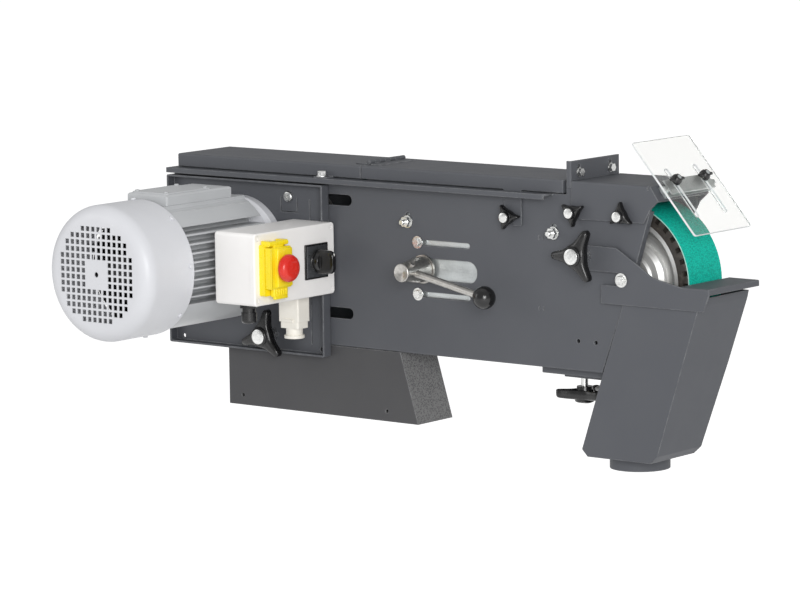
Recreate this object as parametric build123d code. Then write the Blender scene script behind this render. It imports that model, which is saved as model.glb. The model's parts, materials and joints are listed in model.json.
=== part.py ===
from build123d import *
import math
import os

# Belt grinder with a contact wheel at the front and its motor slung on the near side.
# Housing coordinates: x runs from the housing's rear end to its front, y from the main
# plate's front face into the housing, z up from the underside of the base. Millimetres.

# ---- driving dimensions -------------------------------------------------------------
ORIGIN = Vector(270.0, 38.0, 0.0)  # centre of the base's underside, the part's origin
GAP = 0.3  # between pieces that slide or swing past each other
FIT = 0.05  # radial clearance of a running fit
TOUCH = 0.02  # how near an edge must be to a given place to be picked
STUD_R = 4.0
SMALL_STUD_R = 3.0
ALIGN_LOW = (Align.CENTER, Align.CENTER, Align.MIN)
THROUGH_PLATES = (-30.0, 30.0)  # y range of a cutter through every plate of the near side

# belt and wheels
AXIS_Z = 216.8  # height of both wheels
MOTOR_X = 133.0
WHEEL_X = 763.0
WHEEL_R = 100.0
WHEEL_Y = (26.5, 102.9)
TYRE_GROOVES = 38
BELT_Y = (27.2, 102.2)
BELT_T = 1.7
SLACK = 75.0  # travel of the motor carriage

# housing
HOUSING_X = (8.0, 745.0)
HOUSING_Z = (97.0, 328.5)
PLATE = 4.0  # thickness of the main plate
SHEET = 2.0  # thickness of the folded covers
BACK_Y = (105.5, 107.5)
HOOD_TOP = 347.0
PLATE_TOP = 343.0
BEND = 2.5  # outer radius of a fold
POSTS = ((20.0, 125.0), (20.0, 300.0), (335.0, 140.0), (335.0, 290.0), (650.0, 140.0), (726.0, 108.0))
POST_R = 5.0
POST_HOLE_R = 2.6
ACCESSORY_X = (707.4, 735.6)
ACCESSORY_Z = 136.4
ACCESSORY_R = 2.8
MARK_X = (644.5, 651.5)  # small slits punched through the main plate
MARK_Z = (175.0, 269.0)

# base
BASE_X = (101.5, 438.5)
BASE_TOP_END = 409.0
BASE_Y = (0.0, 76.0)
BASE_WALL = 3.0
STAND_BOLT_X = 290.0
STAND_BOLT_Y = 48.0
STAND_BOLT_R = 4.5
SIDE_HOLE_X = (127.5, 384.5)
SIDE_HOLE_Z = 14.0
SIDE_HOLE_R = 2.6

# motor's tray and its guides
TRAY_X = (7.8, 289.2)
TRAY_Z = (81.8, 318.6)
TRAY_Y = (-3.3, -0.3)
TRAY_LIP = -16.7
GUIDE_X = (40.0, 219.7)
GUIDE_Z = (143.0, 298.5)
GUIDE_SLOT_R = 7.5
SLIDE_Y = (4.3, 7.3)
NARROW_SLOT_Z = (179.1, 249.4)
GUIDE_BOLT_X = 442.3

# motor
MOTOR_R = 88.0
FLANGE_R = 79.5
MOTOR_FLANGE_Y = (-17.0, -3.3)
BEARING_R = 20.0
SHAFT_R = 12.0
STATOR_Y = (-209.0, -40.0)
STATOR_BORE = 62.0
STATOR_TOP = 84.0  # height of the stator's flat top over its axis
STATOR_SLOTS = 24
FIN = 2.5
FIN_PITCH = 11.8
FIN_TOP = 57.5
FIN_GROOVES = 9
FAN_COVER_Y = (-302.0, -209.0)
FAN_COVER_R = 92.5
FAN_SCREW_Y = -216.0
GRILLE_ROWS = (6, 10, 12, 12, 14, 14, 14, 14, 14, 14, 12, 12, 10, 6)  # holes in each row
GRILLE_BLANK_ROWS = (5, 6, 7, 8)
GRILLE_PITCH = 9.4
GRILLE_HOLE = 6.4
TERMINAL_Y = (-198.0, -64.0)
TERMINAL_X = (MOTOR_X - 36.0, MOTOR_X + 36.0)
TERMINAL_HEIGHT = 14.5
TERMINAL_COVER_X = (MOTOR_X - 32.0, MOTOR_X + 32.0)
TERMINAL_COVER_Y = (-194.0, -102.0)

# lever
LEVER_X = 451.8
LEVER_Z = 213.8
LEVER_HUB_Y = (-50.0, -3.5)
LEVER_ROD_R = 5.0
BALL = (585.0, -42.0, 189.4)
BALL_R = 15.5

# lids
LID_Z = (330.2, 347.5)
LID_Y = (-2.3, 110.0)
REAR_LID_X = (16.8, 346.2)
FRONT_LID_X = (347.8, 686.0)
LOCK_SCREW = (286.0, -10.8)
TONGUE_X = (589.0, 618.0)
TONGUE_Y = (-2.3, -0.3)
HINGE = (347.0, 350.7)
HINGE_R = 3.2
HINGE_PIN_R = 1.6
HINGE_Y = 15.0
KNUCKLE = 11.0
KNUCKLES = 7

# platen, hood and work stop
PLATEN_X = (392.0, 682.0)
PLATEN_STUD_X = (425.5, 669.2)
PLATEN_STUD_Z = 276.4
PLATEN_SLOT_Z = (271.0, 284.4)
HOOD_X = (699.8, 825.0)
HOOD_Y = (-3.0, 110.5)
STOP_X = (697.0, 699.5)
STOP_BOLT_Y = (15.2, 85.2)
STOP_BOLT_Z = 357.0
STOP_SLOT = 7.0

# chute
CHUTE_Y = (-3.0, 110.3)
CHUTE_SIDE_Y = (-5.3, -3.0)
CHUTE_OUTLINE = [(781.0, 189.0), (750.0, 101.0), (714.0, -6.0), (723.0, -15.0), (823.0, -15.0),
                 (834.0, -5.0), (900.0, 196.0), (902.0, 206.0), (788.0, 206.0)]
CHUTE_FAR_WALL = [(97.0, -15.0), (106.2, 110.0), (109.0, 206.0)]  # its y at three heights
CHUTE_TRAVEL = 30.0
CHUTE_SCREW = (781.1, 222.6)
CHUTE_SCREW_R = 4.0
CHANNEL_X = (638.0, 742.0)
CHANNEL_Y = (14.0, 66.0)
CHANNEL_LOW = 87.0
DUCT_X = 766.8
DUCT_Y = 54.0
DUCT_R = 40.0
DUCT_Z = (-32.6, -15.0)

# clamping knobs
CHUTE_KNOB = (723.5, 252.5)
MOTOR_KNOB = (186.0, 104.5)
BRACKET_KNOB = (688.0, 40.0)
LID_KNOB = (600.0, 294.0)
HOOD_KNOBS = ((706.5, 306.3), (783.0, 306.3))
CHUTE_KNOB_TURN = 62.0
MOTOR_KNOB_TURN = 78.0
BRACKET_KNOB_TURN = 142.0

# switch box
BOX_X = (228.6, 290.4)
BOX_Y = (-171.7, -3.3)
BOX_Z = (170.4, 268.3)
LID_X = (290.4, 299.4)
BOX_WALL = 3.0
LID_SCREWS = ((-164.5, 177.5), (-164.5, 261.3), (-10.5, 177.5), (-10.5, 261.3))
ESTOP_Y = (-161.0, -120.0)
ESTOP_Z = (194.0, 250.0)
ESTOP_HINGE = (313.5, 254.5)
ESTOP_PIN_R = 1.5
BUTTON_Y = -141.0
STOP_Z = 222.0
START_Z = 240.5
ROTARY = (-44.0, 218.8)
GLAND = (262.0, -141.0)
GLAND_BORE_R = 4.0
INLET = (262.0, -46.5)
INLET_HALF = (17.5, 12.5)
INLET_LEVELS = (111.0, 115.0, 125.0, 134.0)  # foot of the rim, collar, skirt and body
INLET_COLLAR_R = 11.5
INLET_RIM_R = 14.0
INLET_NECK_R = 9.9
INLET_BORE_R = 8.5
INLET_DEPTH = 34.0
INLET_PIN_CIRCLE = 6.0
INLET_PIN_R = 1.0

# eye shield
SHIELD_MID = (842.9, 343.4)
SHIELD_SLOPE = 49.27
SHIELD_LENGTH = 150.6
SHIELD_Y = (0.5, 129.0)
SHIELD_T = 3.0
DOWN_SLOPE = (math.cos(math.radians(SHIELD_SLOPE)), 0, -math.sin(math.radians(SHIELD_SLOPE)))
OUT_OF_SLOPE = (math.sin(math.radians(SHIELD_SLOPE)), 0, math.cos(math.radians(SHIELD_SLOPE)))
SLOT_ALONG = (-26.0, 45.0)  # measured down the slope from the shield's middle
WING_ALONG = -8.5
WING_Y = (33.0, 97.5)
BRACKET_ALONG = (-14.0, 8.0)
BRACKET_Y = (15.4, 114.1)
BRACKET_LEVEL = (-3.8, -1.8)
PIVOT = (836.9, 340.8)
PIVOT_R = 2.5


# ---- small tools --------------------------------------------------------------------
def block(x, y, z):
    """A box between the low and high end given for each axis."""
    size = [high - low for low, high in (x, y, z)]
    middle = [(high + low) / 2 for low, high in (x, y, z)]
    return Pos(*middle) * Box(*size)


def rod_x(radius, x, y, z):
    """A round bar along x."""
    return Pos((x[0] + x[1]) / 2, y, z) * Rot(0, 90, 0) * Cylinder(radius, x[1] - x[0])


def rod_y(radius, x, y, z):
    """A round bar along y."""
    return Pos(x, (y[0] + y[1]) / 2, z) * Rot(90, 0, 0) * Cylinder(radius, y[1] - y[0])


def rod_z(radius, x, y, z):
    """A round bar along z."""
    return Pos(x, y, (z[0] + z[1]) / 2) * Cylinder(radius, z[1] - z[0])


def side_face(outline):
    """A face in the xz plane from its corner points."""
    return Plane.XZ * make_face(Polyline(*outline, close=True))


def side_panel(outline, y):
    """An outline of (x, z) corners made solid between two y values."""
    return extrude(Pos(0, y[1], 0) * side_face(outline), amount=y[1] - y[0])


def end_panel(outline, x):
    """An outline of (y, z) corners made solid between two x values."""
    face = Plane.YZ * make_face(Polyline(*outline, close=True))
    return extrude(Pos(x[0], 0, 0) * face, amount=x[1] - x[0])


def turned_y(profile, x, z):
    """A solid turned about an axis along y, from (radius, y) corners."""
    face = Plane.XY * make_face(Polyline(*profile, close=True))
    return Pos(x, 0, z) * revolve(face, Axis.Y)


def slot_y(centres_x, centres_z, radius, y):
    """A cutter for a slot through the plates, between two pairs of end centres."""
    start = Vector(centres_x[0], 0, centres_z[0])
    end = Vector(centres_x[1], 0, centres_z[1])
    run = end - start
    angle = -math.degrees(math.atan2(run.Z, run.X))
    face = SlotCenterToCenter(run.length, 2 * radius)
    middle = (start + end) * 0.5
    depth = y[1] - y[0]
    return Pos(middle.X, y[1], middle.Z) * Rot(0, angle, 0) * extrude(Plane.XZ * face, amount=depth)


def edges_at(solid, axis, **place):
    """The edges parallel to an axis whose centres are at the given places."""
    found = solid.edges().filter_by(axis)
    for name, value in place.items():
        found = ShapeList(e for e in found if abs(getattr(e.center(), name) - value) < TOUCH)
    return found


def hexagon_x(across_flats, x, y, z):
    """A hexagon along x."""
    face = Plane.YZ * RegularPolygon(across_flats / 2, 6, major_radius=False)
    return extrude(Pos(x[0], y, z) * face, amount=x[1] - x[0])


def hexagon_y(across_flats, x, y, z):
    """A hexagon along y, with flats above and below."""
    face = Plane.XZ * RegularPolygon(across_flats / 2, 6, major_radius=False)
    return extrude(Pos(x, y[1], z) * face, amount=y[1] - y[0])


def hexagon_z(across_flats, x, y, z):
    """A hexagon along z."""
    face = RegularPolygon(across_flats / 2, 6, major_radius=False)
    return extrude(Pos(x, y, z[0]) * face, amount=z[1] - z[0])


def flange_bolt_y(x, z, face, reach, flats=10.0, radius=3.0):
    """A hexagon bolt with a flange: its head is on the near side of the face."""
    flange = rod_y(0.85 * flats, x, (face - 1.4, face), z)
    head = hexagon_y(flats, x, (face - 6.0, face - 1.4), z)
    head = chamfer(head.edges().filter_by(GeomType.LINE).group_by(Axis.Y)[0], 0.6)
    return flange + head + rod_y(radius, x, (face, reach), z)


def star_outline(arms, tip, tip_radius, hub_radius):
    """A hub with tapering arms that end in rounded tips."""
    shape = Circle(hub_radius)
    for step in range(arms):
        reach = Rot(0, 0, 360 / arms * step) * Pos(tip - tip_radius, 0)
        edges = (reach * Circle(tip_radius)).edges() + Circle(0.8 * hub_radius).edges()
        shape += make_hull(edges)
    return shape


def triangle_outline(tip, tip_radius):
    """A triangle with rounded corners."""
    edges = ShapeList()
    for step in range(3):
        edges += (Rot(0, 0, 120 * step) * Pos(tip - tip_radius, 0) * Circle(tip_radius)).edges()
    return make_hull(edges)


def knob(outline, heights, stud, cap, turn):
    """A clamping knob that points along +z from its seat: grip, threaded stud and cap."""
    seat, top = heights
    stud_radius, stud_low = stud
    cap_radius, cap_height = cap
    grip = extrude(Pos(0, 0, seat) * Rot(0, 0, turn) * outline, amount=top - seat)
    grip = fillet(grip.edges().group_by(Axis.Z)[-1], 1.5)
    recess = rod_z(stud_radius, 0, 0, (seat, seat + 0.5 * (top - seat)))
    thread = rod_z(stud_radius, 0, 0, (stud_low, seat + 0.5 * (top - seat)))
    disc = Pos(0, 0, top) * Cylinder(cap_radius, cap_height, align=ALIGN_LOW)
    disc = fillet(disc.edges().group_by(Axis.Z)[-1], 0.6 * cap_height)
    return [grip - recess, thread, disc]


def facing_viewer(x, z):
    """The place on the main plate's face where a knob's +z points out at the user."""
    return Pos(x, 0, z) * Rot(90, 0, 0)


def slope_place(along, y, out):
    """A place in the shield's own plane: down the slope, across it and out of it."""
    x, z = SHIELD_MID
    return Plane(origin=(x, 0, z), x_dir=DOWN_SLOPE, z_dir=OUT_OF_SLOPE) * Pos(along, y, out)


# ---- housing ------------------------------------------------------------------------
def plate_edge(z):
    """The x of the main plate's slanted front edge at a height."""
    low, high = (801.7, 247.2), (822.7, 313.5)
    return min(high[0], low[0] + (z - low[1]) * (high[0] - low[0]) / (high[1] - low[1]))


def wall_outline(top_step):
    """The outline that the main plate and the back cover share."""
    rear, front = HOUSING_X
    bottom, top = HOUSING_Z
    knee = 180.0
    return [(rear, bottom), (front, bottom), (776.0, knee), (plate_edge(247.2), 247.2),
            (822.7, 313.5), (822.7, PLATE_TOP), (690.0, PLATE_TOP), (690.0, top_step), (rear, top_step)]


def main_plate():
    """The front wall, which carries the motor, the slide, the platen and the contact wheel."""
    wall = side_panel(wall_outline(HOUSING_Z[1]), (0, PLATE))
    flange_x = (HOUSING_X[0], 668.0)
    flange = block(flange_x, (-17.6, 0), (326.0, 328.5))
    flange += block(flange_x, (-17.6, -15.1), (321.5, 328.5))
    flange -= block((658.0, 669.0), (-18.0, -7.6), (320.0, 330.0)) - rod_z(10.0, 658.0, -7.6, (320.0, 330.0))
    wall += flange
    edge_z = (190.0, 313.0)
    lip = [(plate_edge(edge_z[0]), edge_z[0]), (plate_edge(edge_z[1]), edge_z[1]),
           (plate_edge(edge_z[1]) - 2.5, edge_z[1]), (plate_edge(edge_z[0]) - 2.5, edge_z[0])]
    wall += side_panel(lip, (PLATE, 10.0))
    wall = fillet(edges_at(wall, Axis.X, Y=0, Z=HOUSING_Z[0]), BEND)

    motor_opening_r = 35.0
    travel = (MOTOR_X, MOTOR_X + SLACK)
    wall -= slot_y(travel, (AXIS_Z, AXIS_Z), motor_opening_r, THROUGH_PLATES)
    for z in GUIDE_Z:
        wall -= slot_y((GUIDE_X[1] - 0.5, 321.0), (z, z), GUIDE_SLOT_R, THROUGH_PLATES)
        wall -= slot_y((GUIDE_X[0] - 0.5, GUIDE_X[0] + SLACK + 1), (z, z), GUIDE_SLOT_R, THROUGH_PLATES)
    for z in NARROW_SLOT_Z:
        wall -= slot_y((GUIDE_BOLT_X - 1, 526.3), (z, z), 3.7, THROUGH_PLATES)
    wall -= slot_y((LEVER_X - 1, 527.2), (LEVER_Z, LEVER_Z), 14.8, THROUGH_PLATES)
    for x in PLATEN_STUD_X:
        wall -= slot_y((x, x), PLATEN_SLOT_Z, 4.3, THROUGH_PLATES)
    knob_x, knob_z = CHUTE_KNOB
    wall -= slot_y((knob_x, knob_x + CHUTE_TRAVEL + 0.5), (knob_z, knob_z), 4.5, THROUGH_PLATES)
    knob_x, knob_z = MOTOR_KNOB
    wall -= slot_y((knob_x, knob_x + SLACK + 0.5), (knob_z, knob_z), 4.3, THROUGH_PLATES)
    for x, z in (LID_KNOB, *HOOD_KNOBS):
        wall -= rod_y(SMALL_STUD_R + FIT, x, THROUGH_PLATES, z)
    wall -= rod_y(CHUTE_SCREW_R, CHUTE_SCREW[0], THROUGH_PLATES, CHUTE_SCREW[1])
    for x in ACCESSORY_X:
        wall -= rod_y(ACCESSORY_R, x, THROUGH_PLATES, ACCESSORY_Z)
    tongue_slot = (TONGUE_X[0] - 1.0, TONGUE_X[1] + 9.0)
    wall -= block(tongue_slot, (TONGUE_Y[0] - 0.5, 0), (320.0, 330.0))
    for x in MARK_X:
        for z in MARK_Z:
            wall -= block((x - 0.5, x + 0.5), THROUGH_PLATES, (z - 2.5, z + 2.5))
    return wall - rod_z(STUD_R, LOCK_SCREW[0], LOCK_SCREW[1], (320.0, 331.0))


def housing_shell():
    """The rear wall and the floor of the belt's housing, folded from one sheet."""
    rear, front = HOUSING_X
    bottom, top = HOUSING_Z
    sheet = 2.5
    outline = [(rear, bottom), (front, bottom), (front, bottom + sheet),
               (rear + sheet, bottom + sheet), (rear + sheet, top), (rear, top)]
    shell = side_panel(outline, (PLATE, BACK_Y[0]))
    shell = fillet(edges_at(shell, Axis.Y, X=rear, Z=bottom), BEND)
    slot_x = (BRACKET_KNOB[0] - 12.0, BRACKET_KNOB[0] + 46.0)
    slot = block(slot_x, (BRACKET_KNOB[1] - 9.0, BRACKET_KNOB[1] + 9.0), (bottom - 1, bottom + sheet + 1))
    return shell - slot


def back_cover():
    """The removable far side of the housing, for changing the belt."""
    cover = side_panel(wall_outline(HOUSING_Z[1]), BACK_Y)
    cover = fillet(edges_at(cover, Axis.X, Y=BACK_Y[1], Z=HOUSING_Z[0]), 1.5)
    for x, z in POSTS:
        cover -= rod_y(3.3, x, (BACK_Y[0] - 1, BACK_Y[1] + 1), z)
    return cover


def spacer_posts():
    """Threaded posts that hold the back cover off the main plate."""
    posts = []
    for x, z in POSTS:
        post = rod_y(POST_R, x, (PLATE, BACK_Y[0]), z)
        posts.append(post - rod_y(POST_HOLE_R, x, (BACK_Y[0] - 16.0, BACK_Y[0]), z))
    return posts


def cover_screws():
    """Button-head screws of the back cover."""
    screws = []
    for x, z in POSTS:
        head = rod_y(5.5, x, (BACK_Y[1], BACK_Y[1] + 3.0), z)
        head = fillet(head.edges().group_by(Axis.Y)[-1], 2.2)
        socket = hexagon_y(3.0, x, (BACK_Y[1] + 1.2, BACK_Y[1] + 3.1), z)
        shank = rod_y(2.5, x, (BACK_Y[0] - 12.0, BACK_Y[1]), z)
        screws.append(head - socket + shank)
    return screws


def lid_rails():
    """Folded rails inside the housing that the two lids rest on."""
    rails = []
    for x in ((REAR_LID_X[0] + 4, REAR_LID_X[1] - 4), (FRONT_LID_X[0] + 4, FRONT_LID_X[1] - 4)):
        rails.append(block(x, (PLATE, PLATE + SHEET), (317.4, 345.1)))
        rails.append(block(x, (BACK_Y[0] - SHEET, BACK_Y[0]), (317.4, 345.1)))
    return rails


def base_pedestal():
    """The hollow welded foot: open below inside its rim, slanted at the front."""
    rear, front = BASE_X
    top = HOUSING_Z[0]
    outer = side_panel([(rear, 0), (front, 0), (BASE_TOP_END, top), (rear, top)], BASE_Y)
    outer = fillet(edges_at(outer, Axis.Z, X=rear), 2.0)
    w = BASE_WALL
    inner = [(rear + w, w), (front - w - 0.5, w), (BASE_TOP_END - w, top - w), (rear + w, top - w)]
    base = outer - side_panel(inner, (BASE_Y[0] + w, BASE_Y[1] - w))
    base -= block((rear + 34, front - 34), (BASE_Y[0] + 22, BASE_Y[1] - 22), (-1, w + 1))
    for dx in (-0.5, 0.5):
        for dy in (-0.5, 0.5):
            x = ORIGIN.X + dx * STAND_BOLT_X
            y = ORIGIN.Y + dy * STAND_BOLT_Y
            base -= rod_z(STAND_BOLT_R, x, y, (-1, w + 1))
    for x in SIDE_HOLE_X:
        base -= rod_y(SIDE_HOLE_R, x, (-1, w + 1), SIDE_HOLE_Z)
    return base


def lid_shape(x, end_skirt_x):
    """A shallow lid folded from sheet, with skirts on both sides and at one end."""
    outer = block(x, LID_Y, LID_Z)
    for y in LID_Y:
        outer = fillet(edges_at(outer, Axis.X, Y=y, Z=LID_Z[1]), BEND)
    inner_x = [x[0] - 1, x[1] + 1]
    if end_skirt_x == x[0]:
        inner_x[0] = x[0] + SHEET
        outer = fillet(edges_at(outer, Axis.Y, X=x[0], Z=LID_Z[1]), 1.5)
    else:
        inner_x[1] = x[1] - SHEET
        outer = fillet(edges_at(outer, Axis.Y, X=x[1], Z=LID_Z[1]), 1.5)
    inner = block(inner_x, (LID_Y[0] + SHEET, LID_Y[1] - SHEET), (LID_Z[0] - 1, LID_Z[1] - SHEET))
    return outer - inner


def rear_lid():
    """The fixed lid over the drive wheel, held by a screw through its lug."""
    x, y = LOCK_SCREW
    lid = lid_shape(REAR_LID_X, REAR_LID_X[0])
    lug = block((x - 12, x + 12), (y - 6.8, LID_Y[0] + 1.0), (328.5, 330.5))
    lug = fillet(edges_at(lug, Axis.Z, Y=y - 6.8), 4.0)
    neck = block((x - 12, x + 12), (LID_Y[0], LID_Y[0] + SHEET), (328.5, 332.0))
    return lid + lug + neck - rod_z(4.3, x, y, (327.0, 331.0))


def lock_screw():
    """Hexagon screw and washer of the rear lid."""
    x, y = LOCK_SCREW
    washer = rod_z(8.0, x, y, (330.5, 332.1)) - rod_z(4.2, x, y, (330.0, 332.6))
    head = hexagon_z(11.0, x, y, (332.1, 338.4))
    head = chamfer(head.edges().group_by(Axis.Z)[-1], 0.7)
    shank = rod_z(STUD_R, x, y, (322.5, 332.1))
    return [washer, head + shank]


def hinge_knuckles():
    """The y range of each knuckle of the lid's hinge."""
    lows = [HINGE_Y + KNUCKLE * step for step in range(KNUCKLES)]
    return [(low + GAP / 2, low + KNUCKLE - GAP / 2) for low in lows]


def hinge_leaf(sign, knuckles):
    """One leaf of the lid's hinge with its knuckles: sign is -1 for the rear leaf."""
    x, z = HINGE
    reach = 22.0
    leaf_top = LID_Z[1] + 1.5
    clear = HINGE_R + 0.5
    leaf_x = sorted((x + sign * clear, x + sign * reach))
    leaf = block(leaf_x, (HINGE_Y, HINGE_Y + KNUCKLE * KNUCKLES), (LID_Z[1], leaf_top))
    for low, high in knuckles:
        tab = block(sorted((x, x + sign * (clear + 1))), (low, high), (LID_Z[1], leaf_top))
        leaf += tab + rod_y(HINGE_R, x, (low, high), z)
    return leaf - rod_y(HINGE_PIN_R + FIT, x, (10.0, 100.0), z)


def rear_hinge_leaf():
    """The hinge's leaf on the rear lid."""
    return hinge_leaf(-1, hinge_knuckles()[0::2])


def front_hinge_leaf():
    """The hinge's leaf on the front lid."""
    return hinge_leaf(1, hinge_knuckles()[1::2])


def hinge_pin():
    """The pin through the lid's hinge."""
    reach = (HINGE_Y - 1.0, HINGE_Y + KNUCKLE * KNUCKLES + 1.0)
    return rod_y(HINGE_PIN_R, HINGE[0], reach, HINGE[1])


def front_lid():
    """The lid over the platen, with the tongue that its knob clamps."""
    lid = lid_shape(FRONT_LID_X, FRONT_LID_X[1])
    tongue = block(TONGUE_X, TONGUE_Y, (282.0, 331.0))
    tongue = fillet(edges_at(tongue, Axis.Y, Z=282.0), 3.0)
    x, z = LID_KNOB
    mouth = block((x - 8.5, x + 3.8), (TONGUE_Y[0] - 1, TONGUE_Y[1] + 1), (281.0, z))
    mouth += slot_y((x - 4.7, x), (z, z), 3.8, (TONGUE_Y[0] - 1, TONGUE_Y[1] + 1))
    return lid + tongue - mouth


def front_hood():
    """The cover over the contact wheel: top, folded lip and two side panels."""
    left, right = HOOD_X
    lip = (838.0, 328.0)
    side = [(left, 297.0), (815.0, 298.0), (right, 316.5), lip, (right, HOOD_TOP), (left, HOOD_TOP)]
    solid = side_panel(side, HOOD_Y)
    for y in HOOD_Y:
        solid = fillet(edges_at(solid, Axis.X, Y=y, Z=HOOD_TOP), BEND)
    inner = [(left - 1, 290.0), (900.0, 290.0), (lip[0] + 2, lip[1] - 8), (lip[0] - 2.3, lip[1] - 1.5),
             (right - 0.9, HOOD_TOP - SHEET), (left - 1, HOOD_TOP - SHEET)]
    hood = solid - side_panel(inner, (HOOD_Y[0] + SHEET, HOOD_Y[1] - SHEET))
    for y in (HOOD_Y[0], HOOD_Y[1] - SHEET):
        relief = (y - 0.5, y + SHEET + 0.5)
        hood -= block((right - 4.0, right - 2.8), relief, (HOOD_TOP - 5.5, HOOD_TOP + 1))
    for x, z in HOOD_KNOBS:
        hood -= rod_y(SMALL_STUD_R + 0.4, x, (HOOD_Y[0] - 1, 0), z)
    return hood


def stop_bracket():
    """The upright behind the work stop, welded to the main plate's upper edge."""
    upright = block((694.2, 696.7), (PLATE, 104.5), (322.0, 371.0))
    for y in STOP_BOLT_Y:
        upright -= rod_x(3.2, (690.0, 700.0), y, STOP_BOLT_Z)
    return upright


def work_stop():
    """The adjustable stop at the platen's front end, an angle with two short slots."""
    stop = block(STOP_X, (-3.0, 105.0), (346.8, 372.6))
    stop += block((692.5, STOP_X[1]), (-3.0, -0.5), (338.0, 372.6))
    stop = fillet(edges_at(stop, Axis.Z, X=STOP_X[1], Y=-3.0), 2.0)
    for y in STOP_BOLT_Y:
        for z in (STOP_BOLT_Z, STOP_BOLT_Z + STOP_SLOT):
            stop -= rod_x(3.3, (690.0, 705.0), y, z)
        stop -= block((690.0, 705.0), (y - 3.3, y + 3.3), (STOP_BOLT_Z, STOP_BOLT_Z + STOP_SLOT))
    return stop


def stop_screws():
    """Hexagon screws, washers and nuts of the work stop."""
    screws = []
    for y in STOP_BOLT_Y:
        front = STOP_X[1] + GAP
        washer = rod_x(6.0, (front, front + 1.2), y, STOP_BOLT_Z)
        head = hexagon_x(9.6, (front + 1.2, front + 5.4), y, STOP_BOLT_Z)
        shank = rod_x(SMALL_STUD_R, (686.5, front + 1.2), y, STOP_BOLT_Z)
        nut = hexagon_x(10.0, (689.4, 694.0), y, STOP_BOLT_Z)
        screws.append(washer + head + shank + nut)
    return screws


# ---- platen, belt and contact wheel --------------------------------------------------
def platen():
    """The bent plate that backs the belt's upper run."""
    top_z = AXIS_Z + WHEEL_R - 0.4
    fold_y = (SLIDE_Y[0], 10.0)
    plate = block(PLATEN_X, (fold_y[1], 100.0), (top_z - 4.0, top_z))
    plate += block(PLATEN_X, fold_y, (top_z - 4.0, top_z))
    plate += block(PLATEN_X, SLIDE_Y, (266.0, top_z))
    plate = fillet(edges_at(plate, Axis.X, Y=SLIDE_Y[0], Z=top_z), BEND)
    for x in PLATEN_X:
        plate = fillet(edges_at(plate, Axis.Y, X=x, Z=top_z), 3.0)
    for x in PLATEN_STUD_X:
        plate -= rod_y(STUD_R + 0.1, x, (0, 12.0), PLATEN_STUD_Z)
    return plate


def platen_studs():
    """Studs, nuts and washers that set the platen's height from outside."""
    studs = []
    for x in PLATEN_STUD_X:
        washer = rod_y(8.5, x, (-GAP - 1.6, -GAP), PLATEN_STUD_Z)
        nut = hexagon_y(13.0, x, (-GAP - 8.1, -GAP - 1.6), PLATEN_STUD_Z)
        head = rod_y(7.0, x, (SLIDE_Y[1], SLIDE_Y[1] + 2.6), PLATEN_STUD_Z)
        stud = rod_y(STUD_R - 0.1, x, (-15.5, SLIDE_Y[1]), PLATEN_STUD_Z)
        studs.append(washer + nut + head + chamfer(stud.edges().group_by(Axis.Y)[0], 0.8))
    return studs


def abrasive_belt():
    """The endless belt round the drive wheel and the contact wheel."""
    reach = WHEEL_X - MOTOR_X
    middle = (WHEEL_X + MOTOR_X) / 2
    inner_r = WHEEL_R + GAP
    outer = SlotCenterToCenter(reach, 2 * (inner_r + BELT_T))
    loop = outer - SlotCenterToCenter(reach, 2 * inner_r)
    return extrude(Pos(middle, BELT_Y[1], AXIS_Z) * (Plane.XZ * loop), amount=BELT_Y[1] - BELT_Y[0])


def wheel_axle():
    """The fixed axle of the contact wheel, welded to the inside of the main plate."""
    axle = rod_y(24.0, WHEEL_X, (PLATE, 10.0), AXIS_Z) + rod_y(13.0, WHEEL_X, (10.0, 34.0), AXIS_Z)
    axle += rod_y(10.0, WHEEL_X, (34.0, 96.0), AXIS_Z)
    axle = chamfer(edges_of_end(axle, Axis.Y), 1.0)
    return axle - rod_y(3.0, WHEEL_X, (80.0, 97.0), AXIS_Z)


def edges_of_end(solid, axis):
    """The edges at a solid's far end along an axis."""
    return solid.edges().group_by(axis)[-1]


def axle_screw():
    """Screw and washer that keep the contact wheel on its axle."""
    washer = rod_y(14.0, WHEEL_X, (96.0, 98.5), AXIS_Z)
    head = hexagon_y(10.0, WHEEL_X, (98.5, 102.5), AXIS_Z)
    return washer + head + rod_y(3.0, WHEEL_X, (82.0, 96.0), AXIS_Z)


def wheel_hub():
    """The dished aluminium body of the contact wheel, with its stepped boss."""
    near, far = WHEEL_Y
    profile = [(21.0, 36.0), (33.0, 36.0), (36.0, 39.0), (44.0, 41.0), (50.0, 46.0), (52.0, 51.0),
               (76.0, 47.0), (77.5, near + 2.0), (79.0, near + 0.8), (85.0, near + 0.8),
               (85.0, far - 0.8), (77.0, far - 0.8), (76.0, 66.0), (52.0, 66.0), (42.0, 96.0),
               (21.0, 96.0)]
    return turned_y(profile, WHEEL_X, AXIS_Z)


def wheel_tyre():
    """The serrated rubber tyre of the contact wheel."""
    near, far = WHEEL_Y
    profile = [(85.0, near), (WHEEL_R - 1.5, near), (WHEEL_R, near + 1.5),
               (WHEEL_R, far - 1.5), (WHEEL_R - 1.5, far), (85.0, far)]
    tyre = turned_y(profile, WHEEL_X, AXIS_Z)
    groove = block((92.5, 104.0), (near - 1, far + 1), (-3.3, 3.3))
    cutters = [Rot(0, 360 / TYRE_GROOVES * step, 0) * groove for step in range(TYRE_GROOVES)]
    return tyre - [Pos(WHEEL_X, 0, AXIS_Z) * cutter for cutter in cutters]


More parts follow.
